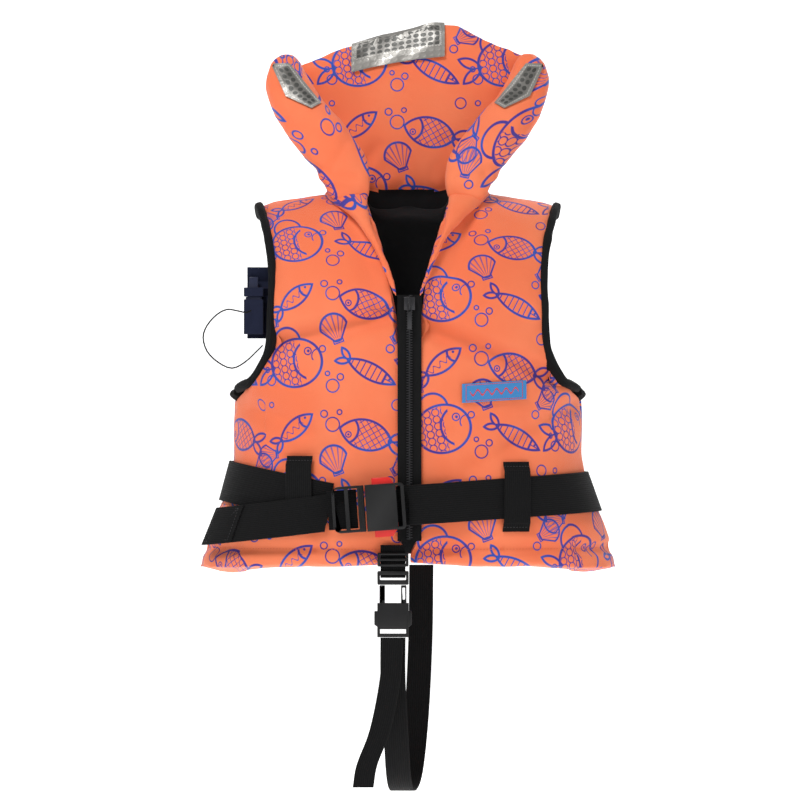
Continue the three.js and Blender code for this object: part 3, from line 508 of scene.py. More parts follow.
TAIL_OFF = 0.0073
TAIL_HALF = 0.019
tail = body_band(
    "belt_free_end", -1, -FRONT_DEPTH, plan_angle(0.184, BELT_HALF_WIDTH),
    plan_angle(0.078, BELT_HALF_WIDTH), 30, tail_z, lambda a: TAIL_OFF, TAIL_HALF)
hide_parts("belt_tail")
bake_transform(tail)
tail_hem = body_band(
    "belt_free_end_hem", -1, -FRONT_DEPTH, plan_angle(0.1842, BELT_HALF_WIDTH),
    plan_angle(0.160, BELT_HALF_WIDTH), 8, tail_z, lambda a: TAIL_OFF + 0.0022, TAIL_HALF)
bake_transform(tail_hem)
back_run = body_band(
    "belt_back_webbing", 1, BACK_DEPTH, 0.0, math.pi, 72,
    lambda x: belt_z(1, 0.19) + (belt_z(-1, 0.19) - belt_z(1, 0.19)) * (0.19 - x) / 0.38,
    lambda a: BELT_OFF, BELT_HALF)
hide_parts("belt_back")
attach(back_run, "back")

# ---- Belt keepers ----
# Short loops of narrower webbing, turned in at both ends and sewn down above and below the belt.

KEEPER_X = 0.108
KEEPER_HALF = 0.014
KEEPER_THICKNESS = 0.0013
for side, name, top, bottom in ((1, "right", -0.262, -0.332), (-1, "left", -0.256, -0.333)):
    stations = [(top, 0.0012), (top - 0.003, 0.0016), (top - 0.008, 0.0040), (top - 0.014, 0.0050),
                (bottom + 0.014, 0.0050), (bottom + 0.008, 0.0040), (bottom + 0.003, 0.0016), (bottom, 0.0012)]
    path, outs = [], []
    for z, off in stations:
        place, out = on_front(side, KEEPER_X, z, off, half_width(z))
        path.append(place)
        outs.append(out)
    sections = []
    smooth = smooth_path(path, 4)
    for k, place in enumerate(smooth):
        out = outs[min(len(outs) - 1, k // 4)]
        across = Vector((0, 0, 1)).cross(out).normalized() * KEEPER_HALF
        sections.append((place, across, out))
    keeper = band("keeper_" + name, sections, KEEPER_THICKNESS, webbing_look)
    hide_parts("belt_keeper_" + name)
    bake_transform(keeper)
    for end, z in (("top", top - 0.0045), ("bottom", bottom + 0.0045)):
        row, row_outs = [], []
        for f in (-0.85, -0.4, 0, 0.4, 0.85):
            place, out = on_front(side, KEEPER_X + KEEPER_HALF * f, z, 0.0034, half_width(z))
            row.append(place)
            row_outs.append(out)
        seam = stitches(f"keeper_{name}_{end}_stitching", row, row_outs, dark_thread)
        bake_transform(seam)

# ---- Crotch strap ----
# 25 mm webbing: a tab sewn to the front hem, a tri-glide, a small side-release buckle, then a strap
# that passes between the legs and is sewn inside the back hem. Its free end hangs by the front run.

CROTCH_HALF = 0.0125
CROTCH_THICKNESS = 0.0016
CROTCH_X = -0.015
STRAP_TOP = -0.4376
STRAP_Y = -0.114
ACROSS = Vector((1, 0, 0))


def hanging_band(name, points, half):
    path = smooth_path(points, 7)
    sections = []
    for k, place in enumerate(path):
        sections.append((place, ACROSS * half, heading(path, k).cross(ACROSS).normalized()))
    return band(name, sections, CROTCH_THICKNESS, webbing_look)


strap = hanging_band("crotch_strap_webbing", [
    (CROTCH_X, STRAP_Y, STRAP_TOP), (CROTCH_X, STRAP_Y + 0.006, -0.480), (-0.012, STRAP_Y + 0.030, -0.537),
    (-0.009, STRAP_Y + 0.066, -0.584), (-0.004, -0.008, -0.597), (0.003, 0.028, -0.581),
    (0.009, 0.050, -0.527), (0.013, 0.062, -0.447), (0.014, BACK_DEPTH - 0.016, -0.370)], CROTCH_HALF)
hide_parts("crotch_strap")
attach(strap, "back")
TAIL_SHIFT = -0.0032
strap_tail = hanging_band("crotch_free_end", [
    (CROTCH_X, STRAP_Y + TAIL_SHIFT, STRAP_TOP), (-0.018, STRAP_Y + TAIL_SHIFT, -0.480),
    (-0.028, STRAP_Y + TAIL_SHIFT + 0.005, -0.530), (-0.041, STRAP_Y + TAIL_SHIFT + 0.010, -0.565),
    (-0.045, STRAP_Y + TAIL_SHIFT + 0.014, -0.588)], CROTCH_HALF - 0.002)
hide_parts("crotch_tail")
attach(strap_tail, "crotch_housing")
tab = hanging_band("crotch_tab_webbing", [
    (CROTCH_X, -0.1134, -0.345), (CROTCH_X, -0.1138, -0.355), (CROTCH_X, -0.1136, -0.366),
    (CROTCH_X, -0.1136, -0.3745), (CROTCH_X, -0.1160, -0.3772)], CROTCH_HALF)
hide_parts("crotch_tab")
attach(tab, "front_left")

# ---- Padded front, back and collar ----
# Closed-cell foam between a printed woven polyester shell and a black lining, sewn round the edges.
# Each starts as its own pattern pieces laid together, then swells against its seams as cloth.

SHELL, LINING = 0, 1
VOXEL = 0.006
CLOSING = 0.0045
CLOTH_FRAMES = 20


def copy_of(*nodes):
    """One loose mesh of copies of these solids, with its corners joined and no material."""
    copies = []
    for node in nodes:
        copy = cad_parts[node].copy()
        copy.data = copy.data.copy()
        copy.parent = None
        for key in list(copy.keys()):
            del copy[key]
        scene.collection.objects.link(copy)
        copies.append(copy)
    only(*copies)
    if len(copies) > 1:
        bpy.ops.object.join()
    piece = bpy.context.active_object
    piece.data.materials.clear()
    bpy.ops.object.mode_set(mode="EDIT")
    bpy.ops.mesh.select_all(action="SELECT")
    bpy.ops.mesh.remove_doubles(threshold=1e-5)
    bpy.ops.object.mode_set(mode="OBJECT")
    return piece


def pad_from(name, *nodes):
    """One closed pad over these solids: their copies joined, swollen until they meet, and shrunk back."""
    piece = copy_of(*nodes)
    piece.name = name
    piece.data.name = name
    finish_with(piece, "DISPLACE", strength=CLOSING, mid_level=0)
    finish_with(piece, "REMESH", mode="VOXEL", voxel_size=VOXEL, use_smooth_shade=True)
    finish_with(piece, "DISPLACE", strength=-CLOSING, mid_level=0)
    finish_with(piece, "SMOOTH", factor=0.5, iterations=5)
    return piece


def places(piece):
    flat = np.empty(len(piece.data.vertices) * 3)
    piece.data.vertices.foreach_get("co", flat)
    return flat.reshape(-1, 3)


def move_to(piece, where):
    piece.data.vertices.foreach_set("co", where.reshape(-1))
    piece.data.update()


def normals(piece):
    flat = np.empty(len(piece.data.vertices) * 3)
    piece.data.vertices.foreach_get("normal", flat)
    return flat.reshape(-1, 3)


def swell(piece, seam_at, cap_at, pressure=4.0):
    """Blows the pad up against its seams as cloth. seam_at and cap_at give each place's hold and its limit."""
    before = places(piece)
    hold = seam_at(before)
    group = piece.vertex_groups.new(name="seams")
    for k, weight in enumerate(hold):
        if weight > 0.02:
            group.add([k], float(weight), "REPLACE")
    cloth = piece.modifiers.new("Cloth", "CLOTH")
    settings = cloth.settings
    settings.quality = 5
    settings.mass = 0.3
    settings.tension_stiffness = 12
    settings.compression_stiffness = 12
    settings.shear_stiffness = 4
    settings.bending_stiffness = 0.4
    settings.use_pressure = True
    settings.uniform_pressure_force = pressure
    settings.vertex_group_mass = "seams"
    settings.effector_weights.gravity = 0
    cloth.collision_settings.use_collision = False
    cloth.point_cache.frame_start = 1
    cloth.point_cache.frame_end = CLOTH_FRAMES
    for number in range(1, CLOTH_FRAMES + 1):
        scene.frame_set(number)
    only(piece)
    bpy.ops.object.modifier_apply(modifier=cloth.name)
    scene.frame_set(1)
    moved = places(piece) - before
    size = np.linalg.norm(moved, axis=1)
    share = np.minimum(1, cap_at(before) / np.maximum(size, 1e-9))
    move_to(piece, before + moved * share[:, None])
    piece.vertex_groups.clear()


def distance_to_line(where, a, b):
    """Distance of each place from the line a to b, both seen along Y."""
    p = where[:, [0, 2]]
    a, b = np.array(a), np.array(b)
    t = np.clip(((p - a) @ (b - a)) / ((b - a) @ (b - a)), 0, 1)
    return np.linalg.norm(p - a - t[:, None] * (b - a), axis=1)


def press(piece, amount):
    """Moves each place inwards along its normal by amount, in metres."""
    move_to(piece, places(piece) - normals(piece) * amount[:, None])


def paint(piece, inside, shell_look, lining_look):
    """Gives the faces that look inwards the lining. inside takes face middles and normals."""
    piece.data.materials.append(shell_look)
    piece.data.materials.append(lining_look)
    middles = np.array([face.center for face in piece.data.polygons])
    facing = np.array([face.normal for face in piece.data.polygons])
    slots = np.where(inside(middles, facing), LINING, SHELL).astype(np.int32)
    piece.data.polygons.foreach_set("material_index", slots)


def lay_pattern(piece, flat_at):
    lay_flats(piece, flat_at(places(piece)))


def body_pattern(where, depth):
    """Flat pattern coordinates on the body: the distance round it from the middle, and the height."""
    x, y, z = where.T
    half = np.interp(z, [row[0] for row in SIDE_ROWS], [row[1] for row in SIDE_ROWS])
    power = SQUARENESS / 2
    cosine = np.minimum(1, np.abs(x) / half) ** power
    sine = np.minimum(1, np.abs(y) / depth) ** power
    by_x = np.arccos(cosine)
    by_both = np.arctan2(sine, np.maximum(cosine, 1e-6))
    angle = np.where(np.abs(x) < 0.8 * half, by_x, by_both)
    steps = np.linspace(0, math.pi / 2, 65)
    px = np.cos(steps) ** (1 / power)
    py = np.abs(np.sin(steps)) ** (1 / power)
    run = np.concatenate([[0], np.cumsum(np.hypot(np.diff(px) * WAIST, np.diff(py) * depth))])
    around = run[-1] - np.interp(angle, steps, run)
    full = depth * np.abs(np.sin(angle)) ** (1 / power)
    rise = np.where(z > -0.11, np.maximum(full - np.abs(y), 0) * 0.6, 0)
    return np.stack([np.sign(x) * around * half / WAIST, z + rise], axis=1)


def print_lines(look, u, v):
    """The printed line drawing: fish, shells and bubbles on a repeat of 150 mm by 132 mm. Sizes are in mm."""
    wide, tall = 150.0, 132.0
    pen = 1.15

    def at(cx, cy, turn, scale=1.0, flip=1):
        x = (u - (cx * 0.882 - wide / 2)) % wide - wide / 2
        y = (v - (cy * 0.88 - tall / 2)) % tall - tall / 2
        c, s = math.cos(math.radians(turn)) / scale, math.sin(math.radians(turn)) / scale
        return x * (c * flip) + y * (s * flip), y * c - x * s

    def disc(x, y, r, cx=0.0, cy=0.0):
        a, b = x - cx, y - cy
        return (a * a + b * b).root() - r

    def line(distance, pen_width=pen):
        return abs(distance) - pen_width

    def lens(x, y, long, fat):
        """Signed distance to a lens shape, long by fat in half lengths."""
        radius = (long * long + fat * fat) / (2 * fat)
        return disc(x, abs(y), radius, 0.0, fat - radius)

    def tail_fin(x, y, start, length, spread):
        """Two leaf shapes that open from the tail's root."""
        c, s = math.cos(math.radians(spread)), math.sin(math.radians(spread))
        a, b = (x - start) * -1, abs(y)
        along, off = a * c + b * s, b * c - a * s
        return lens(along - length / 2, off, length / 2, length / 5)

    def both(a, b):
        return a.most(b)

    def any_of(*parts):
        found = parts[0]
        for part in parts[1:]:
            found = found.least(part)
        return found

    lines = []
    # A tall round fish with a scaled back half.
    x, y = at(40, 40, 12)
    body = disc(x * 0.86, y, 24)
    sx, sy = x % 9.0 - 4.5, y % 7.0 - 3.5
    scales = both(line(disc(sx, sy, 3.6), 0.5), both(body + 1.5, x - 2))
    gill = both(line(disc(x, y, 20, 18)), both(body, x - 8))
    mouth = both(line(disc(x, y, 7, 25, 2), 0.6), both(body, -y - 1))
    eye = any_of(line(disc(x, y, 3.6, 15, 9), 0.6), disc(x, y, 1.5, 15.5, 9))
    fins = line(tail_fin(x, y, -26, 24, 32))
    top_fin = both(line(disc(x, y, 15, -6, 22)), both(-body, 12 - y))
    lines += [line(body), scales, gill, mouth, eye, fins, top_fin]
    # A long fish with bars across its body.
    x, y = at(128, 30, -28)
    body = lens(x, y, 27, 8)
    bars = both(line(x % 6.0 - 3.0, 0.55), both(body + 1, x - 14))
    lines += [line(body), bars, line(tail_fin(x, y, -24, 15, 30)), disc(x, y, 1.2, 20, 1.5),
              both(line(x - 15), body), both(line(y, 0.5), both(body, 15 - x))]
    # A broad fish with a net of crossing lines.
    x, y = at(122, 108, 165, 1.0)
    body = lens(x, y, 27, 15)
    net = both(any_of(line((x + y) % 7.5 - 3.75, 0.5), line((x - y) % 7.5 - 3.75, 0.5)), both(body + 1, x - 9))
    lines += [line(body), net, both(line(disc(x, y, 14, 22)), body), line(tail_fin(x, y, -24, 19, 34)),
              line(disc(x, y, 2.8, 17, 4), 0.55), disc(x, y, 1.1, 17, 4)]
    # A small fish with a wave along its side.
    x, y = at(40, 116, 38)
    body = lens(x, y, 22, 8.5)
    wave = both(line(y + (x * 0.75).sine() * 2.4, 0.6), both(body + 1, x - 9))
    lines += [line(body), wave, both(line(disc(x, y, 9, 16)), body), line(tail_fin(x, y, -20, 14, 32)),
              disc(x, y, 1.3, 14, 2)]
    # Fan shells, with ribs that spread from the hinge.
    for cx, cy, turn, scale in ((86, 78, 20, 1.0), (164, 72, -60, 0.85), (4, 84, 100, 0.8)):
        x, y = at(cx, cy, turn, scale)
        fan = both(disc(x, y, 14, 0, 2), abs(x) - 3 - (y + 12) * 0.75)
        ribs = both(line((x * 9).math("DIVIDE", (y + 16).most(2.0)).math("ADD", 0.5) % 2.0 - 1.0, 0.16),
                    both(fan + 1, -y - 9))
        foot = both(abs(x) - 5, abs(y + 12.5) - 1.6)
        lines += [line(fan), ribs, line(foot, 0.6)]
    # Bubbles.
    for cx, cy, r in ((84, 14, 6.5), (93, 24, 3.2), (78, 28, 2.2), (84, 120, 7.0), (74, 132, 3.5), (92, 134, 2.4),
                      (8, 20, 5.0), (2, 32, 2.6), (150, 56, 4.0), (158, 142, 5.5), (8, 142, 2.6), (72, 56, 3.2)):
        x, y = at(cx, cy, 0)
        lines.append(line(disc(x, y, r), 0.65))
    drawn = any_of(*lines)
    return 1 - drawn.step(-0.25, 0.35)


def printed_shell(name, base, shade, ink, ink_deep):
    look = Look(name, base, 0.62, Sheen_Weight=0.15, Sheen_Roughness=0.4)
    u, v, _ = look.axes(look.flat())
    u, v = u * 1000, v * 1000
    drawn = print_lines(look, u, v)
    patches = look.noise(look.place(), 9, 3)
    ground = look.mix(patches.step(0.35, 0.7), base, shade)
    inks = look.mix(look.noise(look.place(), 26).step(0.4, 0.62), ink, ink_deep)
    weave = ((u * 9).sine() * (v * 9).sine()) * 0.5 + 0.5
    ground = look.mix(weave * 0.12, ground, (0.45, 0.06, 0.02))
    look.set("Base Color", look.mix(drawn, ground, inks))
    look.set("Roughness", patches * 0.14 + 0.55)
    creases = look.noise(look.place(), 34, 3)
    look.bump(weave * 0.25 + creases * 2.4 + drawn * 0.1, 0.0007)
    return look.material


shell_look = printed_shell("printed_shell_fabric", (0.90, 0.17, 0.055), (0.93, 0.22, 0.085),
                           (0.038, 0.016, 0.26), (0.014, 0.062, 0.42))


def plain_woven(name, color, light):
    look = Look(name, color, 0.9, Sheen_Weight=0.06, Specular_IOR_Level=0.15)
    place = look.place()
    x, y, z = look.axes(place)
    weave = ((x + y) * 5200).sine() * (z * 5200).sine() * 0.5 + 0.5
    cloud = look.noise(place, 14)
    look.set("Base Color", look.mix(weave * 0.5 + cloud * 0.5, color, light))
    look.bump(weave * 0.4 + look.noise(place, 40, 3) * 1.5, 0.0006)
    return look.material


lining_look = plain_woven("black_lining", (0.0025, 0.0025, 0.003), (0.007, 0.007, 0.008))


def body_out(where):
    """The direction out of the body at each place, turning upwards over the shoulders."""
    x, y, z = where.T
    out = np.stack([0.6 * x, y * 1.2, np.maximum(z + 0.10, 0)], axis=1)
    return out / np.maximum(np.linalg.norm(out, axis=1), 1e-9)[:, None]


def looks_in(middles, facing):
    inner = (body_out(middles) * facing).sum(axis=1) < -0.2
    neck = (np.abs(middles[:, 0]) < 0.075) & (middles[:, 2] > -0.045) & (middles[:, 1] > 0) & (facing[:, 1] < 0.5)
    return inner | neck


def belt_band(where, side):
    """1 on the strip that the belt holds down, falling to 0 beside it."""
    x, _, z = where.T
    if side > 0:
        middle = BELT_Z + 0.003 + 0.064 * np.abs(x)
    else:
        middle = BELT_Z + 0.003 + 0.19 * (np.abs(x) - 0.070)
    return 1 - smoothstep(np.abs(z - middle), 0.021, 0.040)


def creases(where, lines):
    """How deep each place lies in these folds. A line is its two ends, seen along Y, its width and its depth."""
    depth = np.zeros(len(where))
    for a, b, wide, deep in lines:
        depth += np.exp(-(distance_to_line(where, a, b) / wide) ** 2) * deep
    return depth


CHEST_FOLDS = [
    ((-0.146, -0.145), (-0.008, -0.112), 0.0085, 0.0130), ((0.012, -0.125), (0.152, -0.178), 0.0085, 0.0135),
    ((-0.166, -0.205), (-0.100, -0.232), 0.009, 0.0050), ((0.170, -0.205), (0.104, -0.240), 0.009, 0.0050),
    ((-0.060, -0.020), (-0.030, -0.100), 0.010, 0.0040), ((0.062, -0.018), (0.036, -0.096), 0.010, 0.0040),
    ((-0.120, -0.262), (-0.060, -0.245), 0.008, 0.0035), ((0.060, -0.268), (0.130, -0.236), 0.008, 0.0035),
]


def quilt(piece):
    """The panels' sewn lines and folds: a hem channel, and a fold across each side of the chest."""
    where = places(piece)
    out = (body_out(where) * normals(piece)).sum(axis=1) > 0.2
    hem = np.exp(-((where[:, 2] + 0.349) / 0.0040) ** 2) * 0.0085
    fold = creases(where, CHEST_FOLDS) * (where[:, 1] < 0)
    press(piece, (hem + fold) * out)


def ripple(piece, height, scale, seed):
    """Soft unevenness of cloth over foam: broad swells with small puckers on them."""
    where = places(piece)
    lift = np.array([noise.noise(Vector(p) * scale + Vector((seed, 0, 0)))
                     + 1.6 * noise.noise(Vector(p) * scale * 0.4 + Vector((0, seed, 0))) for p in where])
    press(piece, -lift * height)


ARM_EDGE = ([ARMPIT_Z, -0.178, -0.150, -0.110, -0.070, -0.036, -0.005],
            [0.179, 0.156, 0.141, 0.138, 0.137, 0.142, 0.152])


def body_seams(where, from_side):
    """How firmly the hem, side and armhole seams hold a panel. from_side is the distance from the side seam."""
    x, _, z = where.T
    hem = 1 - smoothstep(z, -0.374, -0.364)
    side = 1 - smoothstep(from_side, 0.002, 0.010)
    edge = np.interp(z, *ARM_EDGE)
    arm = smoothstep(np.abs(x), edge - 0.012, edge - 0.003) * (z > ARMPIT_Z)
    return np.clip(np.maximum.reduce([hem, side, arm]), 0, 1)


def front_seams(where):
    zip_edge = 1 - smoothstep(np.abs(where[:, 0]), 0.010, 0.020)
    return np.maximum(zip_edge, body_seams(where, -where[:, 1]))


FRONT_CAP = 0.009
for side, name in SIDES:
    panel = pad_from("front_panel_" + name, f"front_{name}_cover", f"front_{name}_foam", f"front_{name}_lining")
    where = places(panel)
    # Below the zip the two halves are drawn in to meet.
    meet = (1 - smoothstep(np.abs(where[:, 0]), 0.0095, 0.036)) * (1 - smoothstep(where[:, 2], -0.354, -0.338))
    where[:, 0] -= side * 0.0072 * meet
    move_to(panel, where)
    swell(panel, front_seams, lambda where: FRONT_CAP * (1 - 0.96 * belt_band(where, side)) + 0.0003)
    quilt(panel)
    ripple(panel, 0.0011, 34, 3 * side)
    finish_with(panel, "SUBSURF", levels=1, render_levels=1)
    paint(panel, looks_in, shell_look, lining_look)
    lay_pattern(panel, lambda where: body_pattern(where, FRONT_DEPTH) + np.array([0, 0.066 if side < 0 else 0]))
    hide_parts(f"front_{name}_cover", f"front_{name}_foam", f"front_{name}_lining")
    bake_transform(panel)


def back_seams(where):
    return body_seams(where, where[:, 1])


def back_belt(where):
    x, _, z = where.T
    right, left = belt_z(1, 0.19), belt_z(-1, 0.19)
    middle = right + (left - right) * (0.19 - x) / 0.38
    return 1 - smoothstep(np.abs(z - middle), 0.021, 0.040)


BACK_NODES = ("back_cover", "back_foam", "back_lining", "shoulder_pad_right", "shoulder_pad_left")
back_panel = pad_from("back_panel", *BACK_NODES)
swell(back_panel, back_seams, lambda where: 0.008 * (1 - 0.96 * back_belt(where)) + 0.0003)
quilt(back_panel)
ripple(back_panel, 0.0011, 30, 11)
finish_with(back_panel, "SUBSURF", levels=1, render_levels=1)
paint(back_panel, looks_in, shell_look, lining_look)
lay_pattern(back_panel, lambda where: body_pattern(where, BACK_DEPTH) + np.array([0.4, 0.03]))
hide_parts("back_cover", "back_foam", "back_lining", "shoulder_pad_right", "shoulder_pad_left")
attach(back_panel, "back")

# ---- Collar ----
# A flat head pad of foam in the printed shell, sewn to the neck seam. Its lowest strip is the black lining.

NECK_LINING_TOP = 0.015
collar = pad_from("collar_pad", "collar_front_cover", "collar_foam", "collar_rear_cover")
stretch = places(collar)
stretch[:, 2] -= 0.020 * (1 - smoothstep(stretch[:, 2], 0.010, 0.060))
move_to(collar, stretch)


def collar_seams(where):
    return 1 - smoothstep(where[:, 2], 0.004, 0.020)


swell(collar, collar_seams, lambda where: np.full(len(where), 0.008))
where = places(collar)
gathers = creases(where, [
    ((-0.056, 0.020), (-0.030, 0.062), 0.005, 0.0035), ((-0.038, 0.014), (-0.022, 0.040), 0.004, 0.0030),
    ((0.060, 0.020), (0.036, 0.066), 0.005, 0.0035), ((0.044, 0.014), (0.028, 0.040), 0.004, 0.0030),
    ((-0.010, 0.010), (-0.004, 0.034), 0.004, 0.0020), ((0.014, 0.010), (0.010, 0.030), 0.004, 0.0020)])
gathers *= normals(collar)[:, 1] < 0
press(collar, gathers)
ripple(collar, 0.0012, 30, 21)
finish_with(collar, "SUBSURF", levels=1, render_levels=1)
paint(collar, lambda middles, facing: (middles[:, 2] < NECK_LINING_TOP) & (facing[:, 1] < 0.3),
      shell_look, lining_look)
lay_pattern(collar, lambda where: where[:, [0, 2]] + np.array([0.085, 0.02]))
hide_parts("collar_front_cover", "collar_foam", "collar_rear_cover")
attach(collar, "collar")

# ---- Collar wings ----
# A thick roll of foam in the shell on each side of the head pad, from its top corner down to the shoulder.

WING_STATIONS = [
    (0.132, 0.151, 0.116, 0.155, 0.046, 0.006),
    (0.142, 0.143, 0.110, 0.147, 0.040, 0.012),
    (0.146, 0.125, 0.102, 0.129, 0.032, 0.016),
    (0.140, 0.101, 0.088, 0.105, 0.016, 0.019),
    (0.124, 0.072, 0.067, 0.080, -0.006, 0.020),
    (0.105, 0.046, 0.048, 0.057, -0.026, 0.019),
    (0.091, 0.024, 0.038, 0.038, -0.042, 0.016),
    (0.079, 0.006, 0.037, 0.018, -0.054, 0.011),
    (0.066, -0.003, 0.039, 0.005, -0.058, 0.006),
]


WING_FOLDS = [
    ((0.112, 0.034), (0.052, 0.026), 0.0045, 0.0032), ((0.098, 0.018), (0.056, 0.012), 0.004, 0.0030),
    ((0.062, 0.064), (0.080, 0.030), 0.0045, 0.0022), ((0.106, 0.060), (0.124, 0.084), 0.005, 0.0018),
]


def loft_rings(name, rings):
    """A closed body through rings of places that all have the same number of places."""
    count = len(rings[0])
    vertices = [place for ring in rings for place in ring]
    faces = []
    for k in range(len(rings) - 1):
        for n in range(count):
            m = (n + 1) % count
            faces.append((k * count + n, k * count + m, (k + 1) * count + m, (k + 1) * count + n))
    faces.append(tuple(range(count)))
    faces.append(tuple(range(len(vertices) - count, len(vertices))))
    return new_piece(name, vertices, faces)


def station_at(stations, t):
    """The stations' values at t from 0 to 1, on a smooth curve through them."""
    place = min(t, 0.99999) * (len(stations) - 1)
    k = int(place)
    f = place - k
    rows = [stations[min(max(k + n, 0), len(stations) - 1)] for n in (-1, 0, 1, 2)]
    return [0.5 * (2 * b + (c - a) * f + (2 * a - 5 * b + 4 * c - d) * f * f + (3 * b - a - 3 * c + d) * f ** 3)
            for a, b, c, d in zip(*rows)]


def roll_point(stations, side, t, angle, grow=0.0):
    """A place on a roll: t runs down it, and angle goes round from its outer edge over the front."""
    def middle_at(t):
        ox, oz, ix, iz, y, thick = station_at(stations, t)
        return Vector(((ox + ix) / 2, y, (oz + iz) / 2)), Vector(((ox - ix) / 2, 0, (oz - iz) / 2)), thick
    middle, half, thick = middle_at(t)
    along = middle_at(min(t + 0.03, 1))[0] - middle_at(max(t - 0.03, 0))[0]
    out = along.cross(half).normalized()
    if out.y > 0:
        out.negate()
    cosine, sine = math.cos(angle), math.sin(angle)
    place = middle + half * (math.copysign(abs(cosine) ** 0.9, cosine) * (half.length + grow) / half.length) \
        + out * (math.copysign(abs(sine) ** 0.85, sine) * (thick + grow))
    place.x *= side
    return place


def roll(name, stations, side, rings, ring_size):
    return loft_rings(name, [[roll_point(stations, side, k / rings, 2 * math.pi * n / ring_size)
                              for n in range(ring_size)] for k in range(rings + 1)])


def turned_flat(where, side, turn, at):
    x, z = where[:, 0] - 0.35 * where[:, 1] * side, where[:, 2] - 0.35 * where[:, 1]
    c, s = math.cos(turn), math.sin(turn)
    return np.stack([x * c + z * s + at[0], z * c - x * s + at[1]], axis=1)


for side, name in SIDES:
    wing = roll("collar_roll_" + name, WING_STATIONS, side, 40, 28)
    finish_with(wing, "REMESH", mode="VOXEL", voxel_size=0.005, use_smooth_shade=True)
    edge_a, edge_b = (side * 0.108, 0.146), (side * 0.045, 0.055)
    swell(wing,
          lambda p: (1 - smoothstep(distance_to_line(p, edge_a, edge_b), 0.002, 0.008)) * (p[:, 1] > -0.02),
          lambda p: np.full(len(p), 0.004), pressure=3.0)
    where = places(wing)
    folds = creases(where, [((ax * side, az), (bx * side, bz), wide, deep)
                            for (ax, az), (bx, bz), wide, deep in WING_FOLDS])
    folds *= normals(wing)[:, 1] < 0.2
    press(wing, folds)
    ripple(wing, 0.0016, 42, 31 * side)
    finish_with(wing, "SUBSURF", levels=1, render_levels=1)
    wing.data.materials.append(shell_look)
    lay_pattern(wing, lambda p: turned_flat(p, side, side * 0.9, (0.05, 0.06 + 0.03 * side)))
    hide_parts(f"collar_wing_{name}_cover", f"collar_wing_{name}_foam")
    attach(wing, "collar")

# ---- Lapels ----
# The shell's edge folded out beside the neck, wide at the shoulder and narrowing to the top of the zip.

CHEST_Z = -0.110


def front_y(x, z):
    """The outside of a front half at this place, for heights above the armpit too."""
    x = abs(x)
    seam = 0.017 - 0.017 * (x - 0.041) / (0.152 - 0.041)
    rise = min(1, max(0, (z - CHEST_Z) / (seam - CHEST_Z)))
    half = half_width(z) if z < ARMPIT_Z else WAIST
    sine = math.sin(plan_angle(x, half))
    return -FRONT_DEPTH * math.sqrt(1 - rise * rise) * abs(sine) ** (2 / SQUARENESS)


LAPEL_ROWS = [
    (0.086, 0.009, 0.040, 0.015, 0.009, 0.009), (0.073, -0.002, 0.0405, 0.004, 0.009, 0.0085),
    (0.058, -0.014, 0.039, -0.012, 0.008, 0.008), (0.046, -0.028, 0.036, -0.026, 0.007, 0.007),
    (0.036, -0.044, 0.0285, -0.044, 0.006, 0.006), (0.027, -0.062, 0.021, -0.062, 0.005, 0.005),
    (0.020, -0.080, 0.0145, -0.080, 0.004, 0.0042), (0.0135, -0.098, 0.0095, -0.098, 0.003, 0.0032),
]
for side, name in SIDES:
    rows = [(ox, oz, ix, iz, front_y((ox + ix) / 2, (oz + iz) / 2) - off, thick)
            for ox, oz, ix, iz, off, thick in LAPEL_ROWS]
    lapel = roll("lapel_fold_" + name, rows, side, 44, 20)
    finish_with(lapel, "REMESH", mode="VOXEL", voxel_size=0.003, use_smooth_shade=True)
    finish_with(lapel, "SMOOTH", factor=0.5, iterations=4)
    ripple(lapel, 0.0011, 60, 17 * side)
    lapel.data.materials.append(shell_look)
    lay_pattern(lapel, lambda p: turned_flat(p, side, side * 0.6, (0.10, 0.02 * side)))
    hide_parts("lapel_" + name)
    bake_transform(lapel)

# ---- Armhole bindings ----
# Folded black webbing tape sewn over the raw edges round each armhole, on the fronts and on the back.

ARM_ROWS = [(0.178, -0.192), (0.168, -0.187), (0.156, -0.178), (0.141, -0.150), (0.138, -0.110),
            (0.137, -0.0679), (0.142, -0.0322), (0.147, -0.0120), (0.150, -0.0030), (0.1515, -0.0005)]


def edge_surface(x, z, depth):
    return Vector((x, front_y(x, z) * (-depth / FRONT_DEPTH), z))


for depth, which in ((-FRONT_DEPTH, "front"), (BACK_DEPTH, "back")):
    for side, name in SIDES:
        path = smooth_path([tuple(edge_surface(x, z, depth)) for x, z in ARM_ROWS], 6)
        rings = []
        for k, place in enumerate(path):
            along = heading(path, k)
            e = 0.003
            across = edge_surface(place.x - e, place.z, depth) - edge_surface(place.x + e, place.z, depth)
            out = along.cross(across).normalized()
            if out.y * depth < 0:
                out.negate()
            wide = along.cross(out).normalized()
            if wide.x < 0:
                wide.negate()
            ring = []
            for n in range(16):
                a = 2 * math.pi * n / 16
                c, s = math.cos(a), math.sin(a)
                w = 0.0008 + 0.0046 * math.copysign(abs(c) ** 0.6, c)
                d = -0.0065 + 0.0085 * math.copysign(abs(s) ** 0.6, s)
                spot = place + wide * w + out * d
                spot.y = min(spot.y, -0.0004) if depth < 0 else max(spot.y, 0.0004)
                spot.x *= side
                ring.append(spot)
            rings.append(ring)
        binding = loft_rings(f"armhole_tape_{which}_{name}", rings)
        ripple(binding, 0.0005, 90, 5 * side)
        binding.data.materials.append(binding_look)
        lay_pattern(binding, lambda p: np.stack([p[:, 2] - p[:, 1] * 0.5, p[:, 0] + p[:, 1] * 0.7], axis=1))
        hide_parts(f"armhole_binding_{which}_{name}")
        if which == "front":
            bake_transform(binding)
        else:
            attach(binding, "back")

